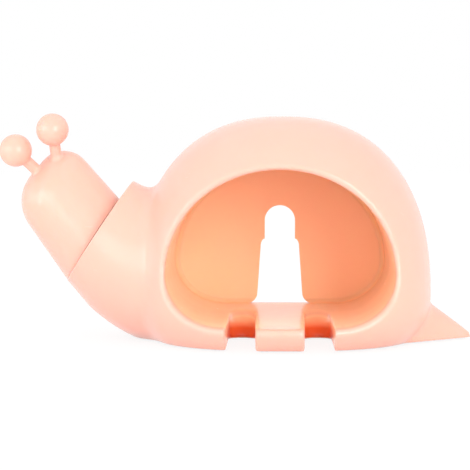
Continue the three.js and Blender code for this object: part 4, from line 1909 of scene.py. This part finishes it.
@dataclass
class Studio:
    """A pale floor, soft lamps, a white backdrop and the camera.

    Attributes:
        target: The place that camera and lamps look at, in metres.
        boxes: The lamps.
        fill: Brightness of the backdrop as a light.
        floor_sight: How much of the floor in sight is plain white rather than lit.
        floor_tones: The floor's grey as a light on the object and in sight.
        azimuth: The camera's turn to the right of the front, in degrees.
        elevation: Its height in degrees.
        distance: Its distance in metres.
        lens: Its focal length in millimetres on a sensor 36 mm wide.
    """

    target: Vector
    boxes: tuple[Softbox, ...] = (
        Softbox("key", 25.0, 8.0, 1.0, (0.4, 0.6), 0.68),
        Softbox("side", -42.0, 4.0, 1.0, (0.9, 0.8), 0.5),
        Softbox("left", -88.0, 0.0, 1.0, (0.7, 0.6), 0.14),
        Softbox("strip", -60.0, 8.0, 1.0, (0.09, 0.8), 0.1),
        Softbox("top", 180.0, 75.0, 0.9, (0.9, 0.9), 0.06),
    )
    fill: float = 1.28
    floor_sight: float = 0.88
    floor_tones: tuple[float, float] = (0.93, 0.92)
    azimuth: float = 1.2
    elevation: float = 3.9
    distance: float = 0.684
    lens: float = 153.2

    def in_sight(self, tree: bpy.types.NodeTree) -> bpy.types.NodeSocket:
        """Adds a field that is 1 where the camera looks, directly or by a reflection.

        Args:
            tree: The material's or world's nodes.

        Returns:
            The field.
        """
        path = tree.nodes.new("ShaderNodeLightPath")
        seen = path.outputs["Is Camera Ray"]
        for ray in ("Is Glossy Ray", "Is Transmission Ray"):
            either = tree.nodes.new("ShaderNodeMath")
            either.operation = "MAXIMUM"
            tree.links.new(seen, either.inputs[0])
            tree.links.new(path.outputs[ray], either.inputs[1])
            seen = either.outputs["Value"]
        return seen

    def world(self) -> None:
        """Makes a backdrop that is white in sight and somewhat brighter as a light."""
        world = bpy.data.worlds.new("backdrop")
        world.use_nodes = True
        tree = world.node_tree
        tree.nodes.clear()
        white = tree.nodes.new("ShaderNodeBackground")
        white.inputs["Color"].default_value = (1.0, 1.0, 1.0, 1.0)
        soft = tree.nodes.new("ShaderNodeBackground")
        soft.inputs["Color"].default_value = (1.0, 0.99, 0.98, 1.0)
        soft.inputs["Strength"].default_value = self.fill
        mix = tree.nodes.new("ShaderNodeMixShader")
        out = tree.nodes.new("ShaderNodeOutputWorld")
        tree.links.new(self.in_sight(tree), mix.inputs["Fac"])
        tree.links.new(soft.outputs["Background"], mix.inputs[1])
        tree.links.new(white.outputs["Background"], mix.inputs[2])
        tree.links.new(mix.outputs["Shader"], out.inputs["Surface"])
        bpy.context.scene.world = world

    def floor(self) -> bpy.types.Object:
        """Lays the floor.

        Returns:
            The floor.
        """
        bm = bmesh.new()
        bmesh.ops.create_grid(bm, x_segments=1, y_segments=1, size=1.5)
        floor = new_object("floor", bm)
        material = bpy.data.materials.new("floor")
        material.use_nodes = True
        tree = material.node_tree
        shader = tree.nodes["Principled BSDF"]
        sight = self.in_sight(tree)
        tone = tree.nodes.new("ShaderNodeMapRange")
        tone.inputs["To Min"].default_value, tone.inputs["To Max"].default_value = self.floor_tones
        tree.links.new(sight, tone.inputs["Value"])
        tree.links.new(tone.outputs["Result"], shader.inputs["Base Color"])
        shader.inputs["Roughness"].default_value = 0.6
        white = tree.nodes.new("ShaderNodeEmission")
        share = tree.nodes.new("ShaderNodeMath")
        share.operation = "MULTIPLY"
        share.inputs[1].default_value = self.floor_sight
        mix = tree.nodes.new("ShaderNodeMixShader")
        tree.links.new(sight, share.inputs[0])
        tree.links.new(share.outputs["Value"], mix.inputs["Fac"])
        tree.links.new(shader.outputs["BSDF"], mix.inputs[1])
        tree.links.new(white.outputs["Emission"], mix.inputs[2])
        tree.links.new(mix.outputs["Shader"], tree.nodes["Material Output"].inputs["Surface"])
        floor.data.materials.append(material)
        return floor

    def camera(self) -> None:
        """Puts the camera in its place, looking at the target."""
        turn, rise = math.radians(self.azimuth), math.radians(self.elevation)
        level = math.cos(rise)
        back = Vector((math.sin(turn) * level, -math.cos(turn) * level, math.sin(rise)))
        camera = bpy.data.objects.new("camera", bpy.data.cameras.new("camera"))
        camera.data.sensor_width = 36.0
        camera.data.lens = self.lens
        camera.data.clip_start = 0.01
        camera.data.clip_end = 20.0
        camera.location = self.target + back * self.distance
        camera.rotation_mode = "QUATERNION"
        camera.rotation_quaternion = (-back).to_track_quat("-Z", "Y")
        bpy.context.scene.collection.objects.link(camera)
        bpy.context.scene.camera = camera

    def build(self) -> None:
        """Builds the studio."""
        bpy.context.scene.view_settings.view_transform = "Standard"
        self.world()
        self.floor()
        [box.build(self.target) for box in self.boxes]
        self.camera()


def main() -> None:
    """Builds every piece and the studio."""
    logging.basicConfig(level=logging.INFO, format="%(message)s", stream=sys.stdout)
    plastic = GlossPlastic("peach_plastic").build()
    steel = BrushedSteel("steel").build()
    iron = CastIron("iron").build()
    rubber = SoftRubber("rubber").build()

    seam, mouth, slot = Seam.from_frame(), Mouth(), Slot()
    shell = Shell(top=node_box("body_shell")[1].z)
    recess = Recess(shell, *node_box("rear_cover"))
    tunnel = Tunnel(shell, mouth, recess.low.y)
    Body(shell, Neck(seam, shell), tunnel, Notches(shell, mouth), recess, slot).build(plastic)
    RearCover(recess, slot, mouth).build(plastic)
    for number in SCREWS:
        CoverScrew(number).build(steel)
    for name in FEET:
        Foot(name).build(rubber)

    head = Head(seam).build(plastic)
    for name in ("eye_left", "eye_right"):
        Eye(name, head).build(plastic)
    dress_hidden(steel, iron)

    Studio(LOOK_AT * MM + MIDDLE * MM).build()


if __name__ == "__main__":
    main()
